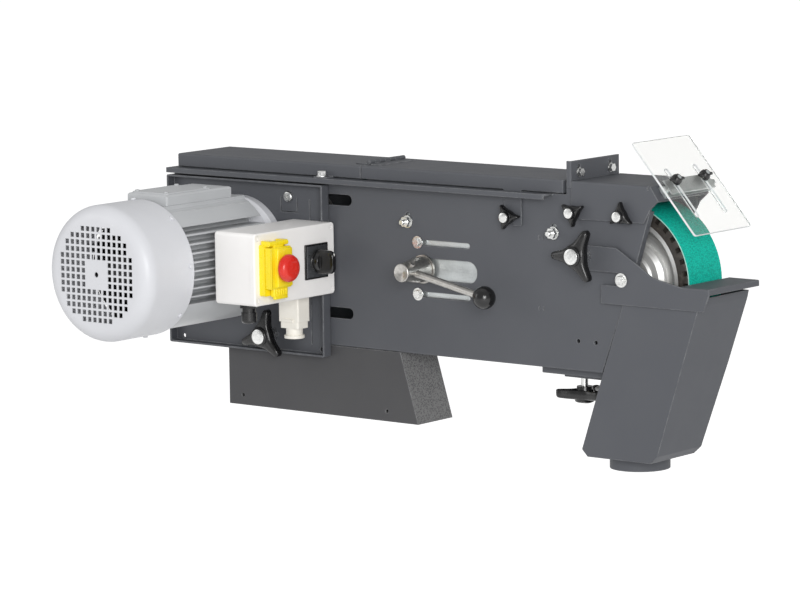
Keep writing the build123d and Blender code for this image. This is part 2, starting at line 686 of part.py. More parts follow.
def wheel_bearings():
    """Two sealed ball bearings in the contact wheel."""
    rings = []
    for y in ((38.0, 50.0), (82.0, 94.0)):
        ring = rod_y(21.0, WHEEL_X, y, AXIS_Z) - rod_y(10.0 + FIT, WHEEL_X, y, AXIS_Z)
        groove_y = (y[0] - 0.1, y[0] + 0.6)
        ring -= rod_y(18.0, WHEEL_X, groove_y, AXIS_Z) - rod_y(13.5, WHEEL_X, groove_y, AXIS_Z)
        rings.append(ring)
    return rings


def chute_screw():
    """The flanged screw that the chute's side plate slides on."""
    x, z = CHUTE_SCREW
    return flange_bolt_y(x, z, CHUTE_SIDE_Y[0] - GAP, PLATE, flats=11.0, radius=CHUTE_SCREW_R - 0.2)


# ---- chute ---------------------------------------------------------------------------
def chute_side():
    """The chute's upper side plate: clamping arm, guide notch and folded work rest."""
    outline = [(713.5, 231.5), (772.0, 231.5), (772.0, 214.5), (748.0, 214.5), (748.0, 190.0), (908.0, 190.0),
               (917.2, 212.0), (917.2, 220.0), (871.0, 220.0), (829.0, 229.0), (808.0, 243.0),
               (772.0, 264.0), (713.5, 265.0)]
    side = side_panel(outline, CHUTE_SIDE_Y)
    x, z = CHUTE_SCREW
    side -= slot_y((740.0, x), (z + 0.4, z + 0.4), 8.1, THROUGH_PLATES)
    rest_y = (CHUTE_SIDE_Y[0], 110.3)
    side += block((871.0, 917.2), rest_y, (218.0, 220.0)) + block((915.2, 917.2), rest_y, (212.0, 220.0))
    side += block((871.0, 917.2), (rest_y[1] - SHEET, rest_y[1]), (212.0, 220.0))
    side = fillet(edges_at(side, Axis.Y, X=917.2, Z=220.0), 1.8)
    side = fillet(edges_at(side, Axis.X, Y=CHUTE_SIDE_Y[0], Z=220.0), 1.8)
    x, z = CHUTE_KNOB
    return side - rod_y(STUD_R + 0.3, x, (-10.0, 0), z)


def beyond_far_wall(inset):
    """The space past the chute's far wall, which leans in towards the duct."""
    wall = [(y - inset, z) for y, z in CHUTE_FAR_WALL]
    low, high, past = CHUTE_FAR_WALL[0][1] - 10.0, CHUTE_FAR_WALL[-1][1] + 10.0, CHUTE_Y[1] + 10.0
    outline = [(wall[0][0], low), *wall, (wall[-1][0], high), (past, high), (past, low)]
    return end_panel(outline, (690.0, 930.0))


def chute_box():
    """The slanted dust box under the contact wheel, open above and at its duct."""
    outer = side_panel(CHUTE_OUTLINE, CHUTE_Y) - beyond_far_wall(0)
    for x, z in (CHUTE_OUTLINE[5], CHUTE_OUTLINE[2]):
        outer = fillet(edges_at(outer, Axis.Y, X=x, Z=z), BEND)
    under_housing = HOUSING_Z[0] - 1.5
    inner = [(700.0, under_housing), (750.2, under_housing), (716.6, -5.0), (724.0, -13.0), (822.2, -13.0),
             (832.2, -4.0), (898.0, 196.6), (901.0, 210.0), (700.0, 210.0)]
    box = outer - (side_panel(inner, (CHUTE_Y[0] + SHEET, CHUTE_Y[1])) - beyond_far_wall(SHEET))
    box -= rod_z(DUCT_R - SHEET, DUCT_X, DUCT_Y, (-20.0, -10.0))
    tab_y = (BRACKET_KNOB[1] - 20.0, BRACKET_KNOB[1] + 20.0)
    tab_z = (83.9, 86.7)
    tab = block((BRACKET_KNOB[0] - 18.0, 746.0), tab_y, tab_z)
    tab -= rod_z(STUD_R + 0.3, BRACKET_KNOB[0], BRACKET_KNOB[1], (80.0, 90.0))
    return box + tab


def duct_collar():
    """The spigot that an extraction hose slides over."""
    collar = rod_z(DUCT_R, DUCT_X, DUCT_Y, DUCT_Z)
    collar -= rod_z(DUCT_R - SHEET, DUCT_X, DUCT_Y, (DUCT_Z[0] - 1, DUCT_Z[1] + 1))
    return collar


def bottom_bracket():
    """The channel under the housing that the chute's tab slides along."""
    x, y = CHANNEL_X, CHANNEL_Y
    low, high = CHANNEL_LOW, HOUSING_Z[0]
    channel = block(x, y, (low, high))
    channel -= block((x[0] - 1, x[1] + 1), (y[0] + SHEET, y[1] - SHEET), (low + SHEET, high + 1))
    channel = fillet(edges_at(channel, Axis.X, Y=y[0], Z=low), 1.5)
    slot = extrude(SlotCenterToCenter(CHUTE_TRAVEL + 1, 2 * STUD_R + 1), amount=4 * SHEET)
    return channel - Pos(BRACKET_KNOB[0] + CHUTE_TRAVEL / 2, BRACKET_KNOB[1], low - SHEET) * slot


def chute_nuts():
    """Square nuts of the two knobs that clamp the chute."""
    x, z = CHUTE_KNOB
    side_nut = block((x - 7, x + 7), (PLATE + GAP, PLATE + 6.3), (z - 7, z + 7))
    side_nut -= rod_y(STUD_R + FIT, x, (0, 20.0), z)
    x, y = BRACKET_KNOB
    low = CHANNEL_LOW + SHEET + GAP
    lower_nut = block((x - 7, x + 7), (y - 7, y + 7), (low, low + 6.0))
    lower_nut -= rod_z(STUD_R + FIT, x, y, (80.0, 110.0))
    return [side_nut, lower_nut]


# ---- motor carriage ------------------------------------------------------------------
def motor_tray():
    """The framed plate that carries the motor and the switch box, and slides as one."""
    outer = block(TRAY_X, (TRAY_LIP, TRAY_Y[1]), TRAY_Z)
    for x in TRAY_X:
        outer = fillet(edges_at(outer, Axis.Z, X=x, Y=TRAY_Y[1]), BEND)
    for z in TRAY_Z:
        outer = fillet(edges_at(outer, Axis.X, Y=TRAY_Y[1], Z=z), BEND)
    lip = 2.5
    inner_x = (TRAY_X[0] + lip, TRAY_X[1] - lip)
    inner_z = (TRAY_Z[0] + lip, TRAY_Z[1] - lip)
    inner = block(inner_x, (TRAY_LIP - 1, TRAY_Y[0]), inner_z)
    tray = outer - inner
    tray -= rod_y(32.0, MOTOR_X, THROUGH_PLATES, AXIS_Z)
    for x, z in motor_screw_places():
        tray -= Pos(x, TRAY_Y[1], z) * Rot(90, 0, 0) * Cone(6.2, 3.2, 3.0, align=ALIGN_LOW)
    for x in GUIDE_X:
        for z in GUIDE_Z:
            tray -= rod_y(5.3, x, THROUGH_PLATES, z)
    x, z = MOTOR_KNOB
    tray -= rod_y(STUD_R + 0.3, x, THROUGH_PLATES, z)
    for x in (22.7, 274.3):
        tray -= rod_y(3.0, x, THROUGH_PLATES, 90.0)
    cut = 1.1
    tab_x, tab_z = (205.7, 234.4), (277.0, 297.0)
    for x in tab_x:
        tray -= block((x - cut / 2, x + cut / 2), THROUGH_PLATES, tab_z)
    tray -= block((tab_x[0] - cut / 2, tab_x[1] + cut / 2), THROUGH_PLATES, (tab_z[0], tab_z[0] + cut))
    tray -= block((256.4, 257.6), THROUGH_PLATES, (96.0, 296.0))
    notch_z = (BOX_Z[0] - 1.0, BOX_Z[1] + 1.0)
    tray -= block((TRAY_X[1] - lip - 0.5, TRAY_X[1] + 1), (TRAY_LIP - 1, TRAY_Y[0]), notch_z)
    return tray


def motor_screw_places():
    """The four screws of the motor's flange, on a circle."""
    reach = 65.0 * math.sqrt(0.5)
    return [(MOTOR_X + a * reach, AXIS_Z + b * reach) for a in (-1, 1) for b in (-1, 1)]


def motor_screws():
    """Countersunk screws that hold the motor to the tray."""
    screws = []
    for x, z in motor_screw_places():
        head = Pos(x, TRAY_Y[1], z) * Rot(90, 0, 0) * Cone(6.0, 3.0, 3.0, align=ALIGN_LOW)
        screws.append(head + rod_y(3.0, x, (-14.0, TRAY_Y[0]), z))
    return screws


def motor_flange():
    """The motor's drive-end shield, with its mounting flange and bearing seat."""
    near, far = MOTOR_FLANGE_Y
    profile = [(BEARING_R, far), (FLANGE_R, far), (FLANGE_R, near + 1.5), (FLANGE_R - 1.5, near),
               (74.0, near - 3.0), (72.0, STATOR_Y[1]), (BEARING_R, STATOR_Y[1])]
    flange = turned_y(profile, MOTOR_X, AXIS_Z)
    for x, z in motor_screw_places():
        flange -= rod_y(3.1, x, (-16.0, far + 1), z)
    return flange


def stator_frame():
    """The finned casting round the stator, with its stepped shoulders."""
    section = Circle(MOTOR_R)
    groove = FIN_PITCH - FIN
    for side in (-1, 1):
        for step in range(FIN_GROOVES):
            z = FIN_TOP - FIN_PITCH * step - groove / 2
            section -= Pos(side * 66.0, z) * Rectangle(60.0, groove)
    section += Circle(STATOR_BORE + 6.0)
    shoulder = [(-46.0, 60.0), (-46.0, 76.0), (-38.0, 78.0), (-38.0, STATOR_TOP), (38.0, STATOR_TOP),
                (38.0, 78.0), (46.0, 76.0), (46.0, 60.0)]
    section += make_face(Polyline(*shoulder, close=True))
    section -= Pos(0, STATOR_TOP + 10.0) * Rectangle(100.0, 20.0)
    section -= Circle(STATOR_BORE)
    body = extrude(Plane.XZ * section, amount=STATOR_Y[1] - STATOR_Y[0])
    return Pos(MOTOR_X, STATOR_Y[1], AXIS_Z) * body


def stator_core():
    """The stator's laminations, pressed into the frame."""
    y = (-180.0, -75.0)
    core = rod_y(STATOR_BORE, MOTOR_X, y, AXIS_Z) - rod_y(41.0, MOTOR_X, y, AXIS_Z)
    for step in range(STATOR_SLOTS):
        slot = Rot(0, 360 / STATOR_SLOTS * step, 0) * block((40.0, 53.0), (y[0] - 1, y[1] + 1), (-2.0, 2.0))
        core -= Pos(MOTOR_X, 0, AXIS_Z) * slot
    return core


def windings():
    """The copper end turns on both ends of the laminations."""
    turns = []
    for y in ((-198.0, -180.0), (-75.0, -57.0)):
        ring = rod_y(58.0, MOTOR_X, y, AXIS_Z) - rod_y(44.0, MOTOR_X, y, AXIS_Z)
        turns.append(ring)
    return turns


def rear_shield():
    """The motor's rear end shield, under the fan cover."""
    profile = [(20.0, STATOR_Y[0]), (78.0, STATOR_Y[0]), (74.0, -219.0), (32.0, -222.0), (20.0, -222.0)]
    return turned_y(profile, MOTOR_X, AXIS_Z)


def motor_bearings():
    """The two bearings of the motor's shaft."""
    rings = []
    for y in ((-36.0, -22.0), (-221.0, -210.0)):
        rings.append(rod_y(20.0, MOTOR_X, y, AXIS_Z) - rod_y(SHAFT_R + FIT, MOTOR_X, y, AXIS_Z))
    return rings


def fan_cover():
    """The deep pressed cover over the motor's fan, with its square-holed grille."""
    near, far = FAN_COVER_Y
    outer = rod_y(FAN_COVER_R, MOTOR_X, FAN_COVER_Y, AXIS_Z)
    outer = fillet(outer.edges().group_by(Axis.Y)[0], 20.0)
    skin = 1.6
    inner = rod_y(FAN_COVER_R - skin, MOTOR_X, (near + skin, far + 1), AXIS_Z)
    inner = fillet(inner.edges().group_by(Axis.Y)[0], 20.0 - skin)
    cover = outer - inner
    cutter = Sketch()
    for row, count in enumerate(GRILLE_ROWS):
        z = ((len(GRILLE_ROWS) - 1) / 2 - row) * GRILLE_PITCH
        for column in range(count):
            x = (column - (count - 1) / 2) * GRILLE_PITCH
            if row not in GRILLE_BLANK_ROWS or abs(x) > 2 * GRILLE_PITCH:
                cutter += Pos(x, z) * Rectangle(GRILLE_HOLE, GRILLE_HOLE)
    cutter += Circle(3.5)
    cover -= Pos(MOTOR_X, near + 3.0, AXIS_Z) * extrude(Plane.XZ * cutter, amount=6.0)
    for x, z, turn in rim_places():
        cover -= Pos(x, FAN_SCREW_Y, z) * Rot(0, turn, 0) * Rot(0, 90, 0) * Cylinder(2.2, 12.0)
    return cover


def rim_places():
    """Eight places round the fan cover's rear rim, with the turn that points outwards."""
    places = []
    for step in range(8):
        angle = 5.0 + 45.0 * step
        reach = FAN_COVER_R - 0.8
        x = MOTOR_X + reach * math.cos(math.radians(angle))
        z = AXIS_Z + reach * math.sin(math.radians(angle))
        places.append((x, z, -angle))
    return places


def fan_cover_screws():
    """The painted screws round the fan cover."""
    screws = []
    for x, z, turn in rim_places():
        head = Pos(2.1, 0, 0) * Rot(0, 90, 0) * Cylinder(3.4, 2.6)
        head = fillet(head.edges().group_by(Axis.X)[-1], 1.2)
        shank = Pos(-3.5, 0, 0) * Rot(0, 90, 0) * Cylinder(2.0, 9.0)
        screws.append(Pos(x, FAN_SCREW_Y, z) * Rot(0, turn, 0) * (head + shank))
    return screws


def terminal_box():
    """The low cast box on top of the motor."""
    x, y = TERMINAL_X, TERMINAL_Y
    z = (AXIS_Z + STATOR_TOP, AXIS_Z + STATOR_TOP + TERMINAL_HEIGHT)
    body = block(x, y, z)
    body = chamfer(body.edges().group_by(Axis.Z)[-1], 2.5)
    body = fillet(body.edges().filter_by(Axis.Z), 2.0)
    return body - block((x[0] + 6, x[1] - 6), (y[0] + 6, y[1] - 40), (z[0] + 1.5, z[1] + 1))


def terminal_cover():
    """The cover plate of the terminal box with its corner screws."""
    x, y = TERMINAL_COVER_X, TERMINAL_COVER_Y
    low = AXIS_Z + STATOR_TOP + TERMINAL_HEIGHT
    plate = block(x, y, (low, low + 2.0))
    plate = fillet(plate.edges().filter_by(Axis.Z), 5.0)
    plate = chamfer(plate.edges().group_by(Axis.Z)[-1], 0.8)
    for screw_x in (x[0] + 6, x[1] - 6):
        for screw_y in (y[0] + 6, y[1] - 6):
            plate += rod_z(3.0, screw_x, screw_y, (low + 2.0, low + 3.8))
    return plate


def motor_shaft():
    """The motor's shaft, which also carries the fan and the drive wheel."""
    shaft = rod_y(SHAFT_R, MOTOR_X, (-255.0, 100.5), AXIS_Z)
    shaft = chamfer(edges_of_end(shaft, Axis.Y), 1.0)
    return shaft - rod_y(4.0, MOTOR_X, (80.0, 101.0), AXIS_Z)


def rotor_core():
    """The rotor's laminations on the shaft."""
    y = (-182.0, -73.0)
    return rod_y(40.4, MOTOR_X, y, AXIS_Z) - rod_y(SHAFT_R, MOTOR_X, y, AXIS_Z)


def cooling_fan():
    """The radial fan behind the grille."""
    fan = rod_y(22.0, MOTOR_X, (-254.0, -226.0), AXIS_Z) + rod_y(72.0, MOTOR_X, (-229.0, -226.0), AXIS_Z)
    for step in range(7):
        blade = Rot(0, 360 / 7 * step, 0) * block((18.0, 70.0), (-252.0, -228.0), (-1.2, 1.2))
        fan += Pos(MOTOR_X, 0, AXIS_Z) * blade
    return fan - rod_y(SHAFT_R, MOTOR_X, (-260.0, -220.0), AXIS_Z)


def drive_wheel():
    """The crowned wheel on the motor's shaft that drives the belt."""
    near, far = WHEEL_Y
    profile = [(SHAFT_R, 20.0), (30.0, 20.0), (32.0, 56.0), (84.0, 56.0), (86.0, near), (98.5, near),
               (WHEEL_R, near + 20.0), (WHEEL_R, far - 20.0), (98.5, far), (86.0, far), (84.0, 70.0),
               (32.0, 70.0), (30.0, 98.5), (SHAFT_R, 98.5)]
    return turned_y(profile, MOTOR_X, AXIS_Z)


def drive_wheel_screw():
    """Screw and washer that hold the drive wheel on the shaft."""
    washer = rod_y(18.0, MOTOR_X, (100.5, 102.5), AXIS_Z)
    head = hexagon_y(11.0, MOTOR_X, (102.5, 104.6), AXIS_Z)
    return washer + head + rod_y(3.9, MOTOR_X, (82.0, 100.5), AXIS_Z)


def slide_plate():
    """The galvanised plate behind the main plate that joins the tray to the lever."""
    bar_x, bar_z = (205.0, 236.0), (130.0, 312.0)
    plate = block(bar_x, SLIDE_Y, bar_z) + block((bar_x[0], 560.0), SLIDE_Y, (168.0, 260.0))
    for z in GUIDE_Z:
        plate -= rod_y(5.2, GUIDE_X[1], (0, 10.0), z)
    for z in NARROW_SLOT_Z:
        plate -= rod_y(3.1, GUIDE_BOLT_X, (0, 10.0), z)
    return plate - rod_y(8.0 + FIT, LEVER_X, (0, 10.0), LEVER_Z)


def guide_screws():
    """Large-headed screws, bushes and nuts that guide the tray in the main plate's slots."""
    screws = []
    for x in GUIDE_X:
        for z in GUIDE_Z:
            head = rod_y(7.6, x, (TRAY_Y[0] - 4.2, TRAY_Y[0]), z)
            head = fillet(head.edges().group_by(Axis.Y)[0], 2.4)
            head -= hexagon_y(5.0, x, (TRAY_Y[0] - 4.3, TRAY_Y[0] - 1.8), z)
            neck = rod_y(5.1, x, (TRAY_Y[0], TRAY_Y[1]), z)
            bush = rod_y(7.1, x, (TRAY_Y[1], SLIDE_Y[0]), z)
            shank = rod_y(5.0, x, (SLIDE_Y[0], 19.0), z)
            low = SLIDE_Y[1] if x == GUIDE_X[1] else SLIDE_Y[0]
            nut = hexagon_y(16.0, x, (low, low + 8.0), z)
            screws.append(head + neck + bush + shank + nut)
    return screws


def slide_screws():
    """Flanged screws that run in the two narrow slots."""
    screws = []
    for z in NARROW_SLOT_Z:
        screw = flange_bolt_y(GUIDE_BOLT_X, z, -GAP, SLIDE_Y[1], flats=10.0, radius=3.0)
        screws.append(screw)
    return screws


def motor_nut():
    """The slim nut of the knob that clamps the tray."""
    x, z = MOTOR_KNOB
    nut = block((x - 10, x + 10), (PLATE + GAP, PLATE + 7.0), (z - 4.7, z + 8.0))
    return nut - rod_y(STUD_R + FIT, x, (0, 20.0), z)


# ---- lever ---------------------------------------------------------------------------


def lever_hub():
    """The turned hub of the clamping lever and its bolt through the slot."""
    near, far = LEVER_HUB_Y
    profile = [(0, near), (11.0, near), (12.5, near + 1.5), (13.2, near + 9.0), (17.0, far - 9.0),
               (17.5, far - 7.0), (17.5, far), (0, far)]
    hub = turned_y(profile, LEVER_X, LEVER_Z)
    hub += rod_y(19.5, LEVER_X, (far, -GAP), LEVER_Z)
    hub += rod_y(8.0, LEVER_X, (-GAP, 12.0), LEVER_Z)
    hub += rod_y(13.0, LEVER_X, (SLIDE_Y[1] + GAP, 16.0), LEVER_Z)
    root, tip = lever_line()
    socket = Solid.make_cylinder(LEVER_ROD_R, 14.0, Plane(origin=root, z_dir=tip - root))
    return hub - socket


def lever_line():
    """The start and end of the lever's rod."""
    start = Vector(LEVER_X, -30.0, LEVER_Z)
    end = Vector(*BALL)
    step = (end - start).normalized()
    return start + step * 9.0, end - step * (BALL_R - 6.0)


def lever_rod():
    """The steel rod between the hub and the ball."""
    root, tip = lever_line()
    return Solid.make_cylinder(LEVER_ROD_R, (tip - root).length, Plane(origin=root, z_dir=tip - root))


def lever_ball():
    """The moulded ball grip."""
    root, tip = lever_line()
    ball = Pos(*BALL) * Sphere(BALL_R)
    way = (tip - root).normalized()
    collar = Solid.make_cylinder(8.0, 8.0, Plane(origin=Vector(*BALL) - way * (BALL_R + 3.0), z_dir=way))
    socket = Solid.make_cylinder(LEVER_ROD_R, (tip - root).length, Plane(origin=root, z_dir=way))
    return ball + collar - socket


# ---- switch box ----------------------------------------------------------------------


def switch_box():
    """The moulded box on the tray, open towards its lid."""
    outer = block(BOX_X, BOX_Y, BOX_Z)
    outer = fillet(edges_at(outer, Axis.X, Y=BOX_Y[0]) + edges_at(outer, Axis.X, Y=BOX_Y[1]), 5.0)
    outer = fillet(outer.edges().group_by(Axis.X)[0], 3.0)
    w = BOX_WALL
    inner_y = (BOX_Y[0] + w, BOX_Y[1] - w)
    inner_z = (BOX_Z[0] + w, BOX_Z[1] - w)
    box = outer - block((BOX_X[0] + w, BOX_X[1] + 1), inner_y, inner_z)
    for y, z in LID_SCREWS:
        boss = rod_x(5.0, (BOX_X[0] + w, BOX_X[1]), y, z)
        box += boss
        box -= rod_x(1.6, (BOX_X[1] - 14.0, BOX_X[1] + 1), y, z)
    box -= rod_z(8.0, GLAND[0], GLAND[1], (BOX_Z[0] - 1, BOX_Z[0] + w + 1))
    box -= rod_z(INLET_NECK_R + 0.1, INLET[0], INLET[1], (BOX_Z[0] - 1, BOX_Z[0] + w + 1))
    return box


def switch_lid():
    """The lid that carries the controls."""
    lid = block(LID_X, BOX_Y, BOX_Z)
    lid = fillet(edges_at(lid, Axis.X, Y=BOX_Y[0]) + edges_at(lid, Axis.X, Y=BOX_Y[1]), 5.0)
    lid = fillet(lid.edges().group_by(Axis.X)[-1], 2.0)
    w = BOX_WALL
    lid -= block((LID_X[0] - 1, LID_X[1] - w), (BOX_Y[0] + 12, BOX_Y[1] - 12), (BOX_Z[0] + 12, BOX_Z[1] - 12))
    for y, z in LID_SCREWS:
        lid -= rod_x(3.4, (LID_X[1] - 2.0, LID_X[1] + 1), y, z)
        lid -= rod_x(1.7, (LID_X[0] - 1, LID_X[1]), y, z)
    lid -= rod_x(7.0, (LID_X[0], LID_X[1] + 1), ROTARY[0], ROTARY[1])
    return lid - block((LID_X[0], LID_X[1] + 1), (BUTTON_Y - 12, BUTTON_Y + 12), (STOP_Z - 12, START_Z + 9))


def lid_screws():
    """The four captive screws of the switch box's lid."""
    screws = []
    for y, z in LID_SCREWS:
        head = rod_x(3.2, (LID_X[1] - 2.0, LID_X[1] - 0.4), y, z)
        head -= block((LID_X[1] - 1.2, LID_X[1]), (y - 0.5, y + 0.5), (z - 2.6, z + 2.6))
        screws.append(head + rod_x(1.5, (LID_X[0] - 12.0, LID_X[1] - 2.0), y, z))
    return screws


def estop_base():
    """The yellow base of the start and stop unit, with its hinge lugs and lower lip."""
    x = (LID_X[1], LID_X[1] + 9.0)
    base = block(x, (ESTOP_Y[0] - 1, ESTOP_Y[1] + 1), (ESTOP_Z[0] - 10, ESTOP_Z[1] + 3))
    base = fillet(base.edges().filter_by(Axis.X), 2.0)
    for y, z, r in button_places():
        base -= rod_x(r + 0.3, (x[0] - 1, x[1] + 1), y, z)
    hinge_x, hinge_z = ESTOP_HINGE
    for low in (ESTOP_Y[0] + 1.5, ESTOP_Y[1] - 9.5):
        lug = rod_y(3.6, hinge_x, (low, low + 8.0), hinge_z)
        lug += block((x[0] + 2, hinge_x), (low, low + 8.0), (hinge_z - 3.6, hinge_z + 3.6))
        base += lug
    return base - rod_y(ESTOP_PIN_R, hinge_x, ESTOP_Y, hinge_z)


def button_places():
    """Centre and radius of the stop and start buttons on the box's lid."""
    return ((BUTTON_Y, STOP_Z, 8.0), (BUTTON_Y, START_Z, 6.0))


def estop_pin():
    """The pin of the yellow flap, held in the base's lugs."""
    x, z = ESTOP_HINGE
    return rod_y(ESTOP_PIN_R, x, (ESTOP_Y[0] + 1.0, ESTOP_Y[1] - 1.0), z)


def estop_flap():
    """The yellow flap that hangs over the buttons and carries the red mushroom."""
    x = (LID_X[1] + 9.0 + GAP, LID_X[1] + 24.6)
    top = ESTOP_Z[1] - 0.5
    flap = block(x, ESTOP_Y, (ESTOP_Z[0], top))
    flap = fillet(edges_at(flap, Axis.Z, X=x[1]), 2.5)
    w = 2.0
    flap -= block((x[0] - 1, x[1] - w), (ESTOP_Y[0] + w, ESTOP_Y[1] - w), (ESTOP_Z[0] + w, top - w))
    flap -= rod_x(5.3, (x[0], x[1] + 1), BUTTON_Y, STOP_Z)
    hinge_x, hinge_z = ESTOP_HINGE
    middle = (ESTOP_Y[0] + 10.2, ESTOP_Y[1] - 10.2)
    flap += rod_y(3.6, hinge_x, middle, hinge_z)
    flap += block((hinge_x - 1.5, hinge_x + 2.5), middle, (top - 1, hinge_z))
    pull = block((x[0] + 2, x[0] + 10), (ESTOP_Y[0] + 8, ESTOP_Y[1] - 4), (ESTOP_Z[0] - 15, ESTOP_Z[0]))
    pull = fillet(pull.edges().filter_by(Axis.X).group_by(Axis.Z)[0], 3.0)
    return flap + pull - rod_y(ESTOP_PIN_R + FIT, hinge_x, ESTOP_Y, hinge_z)


def estop_button():
    """The red mushroom head and its stem."""
    face = LID_X[1] + 24.6
    head = rod_x(18.8, (face + 5.0, face + 19.0), BUTTON_Y, STOP_Z)
    head = fillet(head.edges().group_by(Axis.X)[-1], 8.0)
    head = fillet(head.edges().group_by(Axis.X)[0], 1.5)
    return head + rod_x(5.0, (face - 7.0, face + 5.0), BUTTON_Y, STOP_Z)


def push_button(index):
    """A short round button that stands just proud of the base."""
    y, z, radius = button_places()[index]
    proud = LID_X[1] + 9.0 + 2.4
    cap = rod_x(radius, (LID_X[1] + 3.4, proud), y, z)
    cap = fillet(cap.edges().group_by(Axis.X)[-1], 0.8)
    return cap


def stop_button():
    """The red stop button behind the flap."""
    return push_button(0)


def start_button():
    """The green start button behind the flap."""
    return push_button(1)


def rotary_plate():
    """The black escutcheon of the rotary switch, with its collar."""
    y, z = ROTARY
    plate = block((LID_X[1], LID_X[1] + 2.8), (y - 24.0, y + 24.0), (z - 24.0, z + 24.0))
    plate = fillet(plate.edges().filter_by(Axis.X), 3.0)
    plate += rod_x(14.0, (LID_X[1] + 2.8, LID_X[1] + 5.0), y, z)
    return plate - rod_x(5.0 + FIT, (LID_X[1] - 1, LID_X[1] + 6), y, z)


def rotary_handle():
    """The black grip of the rotary switch."""
    y, z = ROTARY
    face = LID_X[1] + 5.0 + GAP
    skirt = rod_x(13.0, (face, face + 7.0), y, z)
    grip = block((face + 7.0, face + 28.0), (y - 5.0, y + 5.0), (z - 17.0, z + 17.0))
    grip = fillet(grip.edges().filter_by(Axis.Y).group_by(Axis.X)[-1], 5.0)
    spindle = rod_x(5.0, (LID_X[1] - 8.0, face), y, z)
    return skirt + grip + spindle


def cable_gland():
    """The black gland under the switch box."""
    x, y = GLAND
    top = BOX_Z[0]
    gland = hexagon_z(22.0, x, y, (top - 7.0, top)) + rod_z(9.0, x, y, (top - 13.0, top - 7.0))
    dome = rod_z(10.5, x, y, (top - 28.0, top - 13.0))
    gland += fillet(dome.edges().group_by(Axis.Z)[0], 4.0)
    gland += rod_z(7.9, x, y, (top, top + 9.0))
    return gland - rod_z(GLAND_BORE_R, x, y, (top - 30.0, top + 10.0))


def power_inlet():
    """The cream inlet under the switch box that the supply coupler pushes into."""
    x, y = INLET
    half_x, half_y = INLET_HALF
    rim, collar, skirt, foot = INLET_LEVELS
    top = BOX_Z[0]
    body = block((x - half_x, x + half_x), (y - half_y, y + half_y), (foot, top))
    body = fillet(body.edges().filter_by(Axis.Z), 2.0)
    lower = block((x - half_x + 1.5, x + half_x - 1.5), (y - half_y + 1.0, y + half_y - 1.0), (skirt, foot))
    body += fillet(lower.edges().filter_by(Axis.Z), 3.0)
    for flap_y in (y - half_y - 2.5, y + half_y - 0.5):
        body += block((x - 9.0, x + 9.0), (flap_y, flap_y + 3.0), (foot, foot + 4.0))
    body += rod_z(INLET_COLLAR_R, x, y, (collar, skirt))
    body += rod_z(INLET_RIM_R, x, y, (rim, collar))
    body += rod_z(INLET_NECK_R, x, y, (top, top + 8.0))
    return body - rod_z(INLET_BORE_R, x, y, (rim - 1, rim + INLET_DEPTH))


def inlet_pins():
    """The five contact pins inside the inlet."""
    x, y = INLET
    reach = (INLET_LEVELS[0] + 5.0, INLET_LEVELS[0] + INLET_DEPTH)
    pins = []
    for step in range(5):
        angle = math.radians(18.0 + 72.0 * step)
        pin_x = x + INLET_PIN_CIRCLE * math.cos(angle)
        pin_y = y + INLET_PIN_CIRCLE * math.sin(angle)
        pins.append(rod_z(INLET_PIN_R, pin_x, pin_y, reach))
    return pins


# ---- clamping knobs ------------------------------------------------------------------
def large_star():
    """Outline of the large clamping knobs."""
    return star_outline(3, 38.5, 5.0, 14.0)


def small_triangle():
    """Outline of the small clamping knobs."""
    return triangle_outline(19.0, 2.0)


def chute_knob():
    """The star knob that clamps the chute's arm."""
    seat = -CHUTE_SIDE_Y[0] + 1.9
    pieces = knob(large_star(), (seat + 7.0, 36.0), (STUD_R, -14.0), (10.5, 3.5), CHUTE_KNOB_TURN)
    ring = Cylinder(9.0, 8.6, align=ALIGN_LOW) - Cylinder(STUD_R, 8.6, align=ALIGN_LOW)
    washer = Pos(0, 0, seat - 1.6) * ring
    return [facing_viewer(*CHUTE_KNOB) * piece for piece in (*pieces, washer)]


def motor_knob():
    """The star knob that clamps the motor's tray."""
    seat = -TRAY_Y[0] + GAP
    pieces = knob(large_star(), (19.5, 33.0), (STUD_R, -14.0), (9.5, 3.5), MOTOR_KNOB_TURN)
    washer = Pos(0, 0, seat) * (Cylinder(10.0, 19.5 - seat, align=ALIGN_LOW)
                                - Cylinder(STUD_R, 19.5 - seat, align=ALIGN_LOW))
    return [facing_viewer(*MOTOR_KNOB) * piece for piece in (*pieces, washer)]


def bracket_knob():
    """The star knob under the housing that clamps the chute's tab."""
    seat = 83.9 - GAP
    pieces = knob(large_star(), (13.0, 34.0), (STUD_R, -14.0), (10.5, 2.0), BRACKET_KNOB_TURN)
    washer = Cylinder(8.0, 3.0, align=ALIGN_LOW) - Cylinder(STUD_R, 3.0, align=ALIGN_LOW)
    place = Pos(*BRACKET_KNOB, seat) * Rot(180, 0, 0)
    return [place * piece for piece in (*pieces, washer)]


def small_knob(x, z, seat, turn):
    """A small three-cornered knob on the near side."""
    pieces = knob(small_triangle(), (seat, seat + 15.0), (SMALL_STUD_R, -3.8), (6.8, 2.6), turn)
    return [facing_viewer(x, z) * piece for piece in pieces]


def lid_knob():
    """The small knob that clamps the front lid's tongue."""
    return small_knob(*LID_KNOB, -TONGUE_Y[0] + GAP, 0.0)


def hood_knob_rear():
    """The rear one of the two knobs of the front hood."""
    return small_knob(*HOOD_KNOBS[0], -HOOD_Y[0] + GAP, -90.0)


def hood_knob_front():
    """The front one of the two knobs of the front hood."""
    return small_knob(*HOOD_KNOBS[1], -HOOD_Y[0] + GAP, 90.0)


# ---- eye shield ----------------------------------------------------------------------


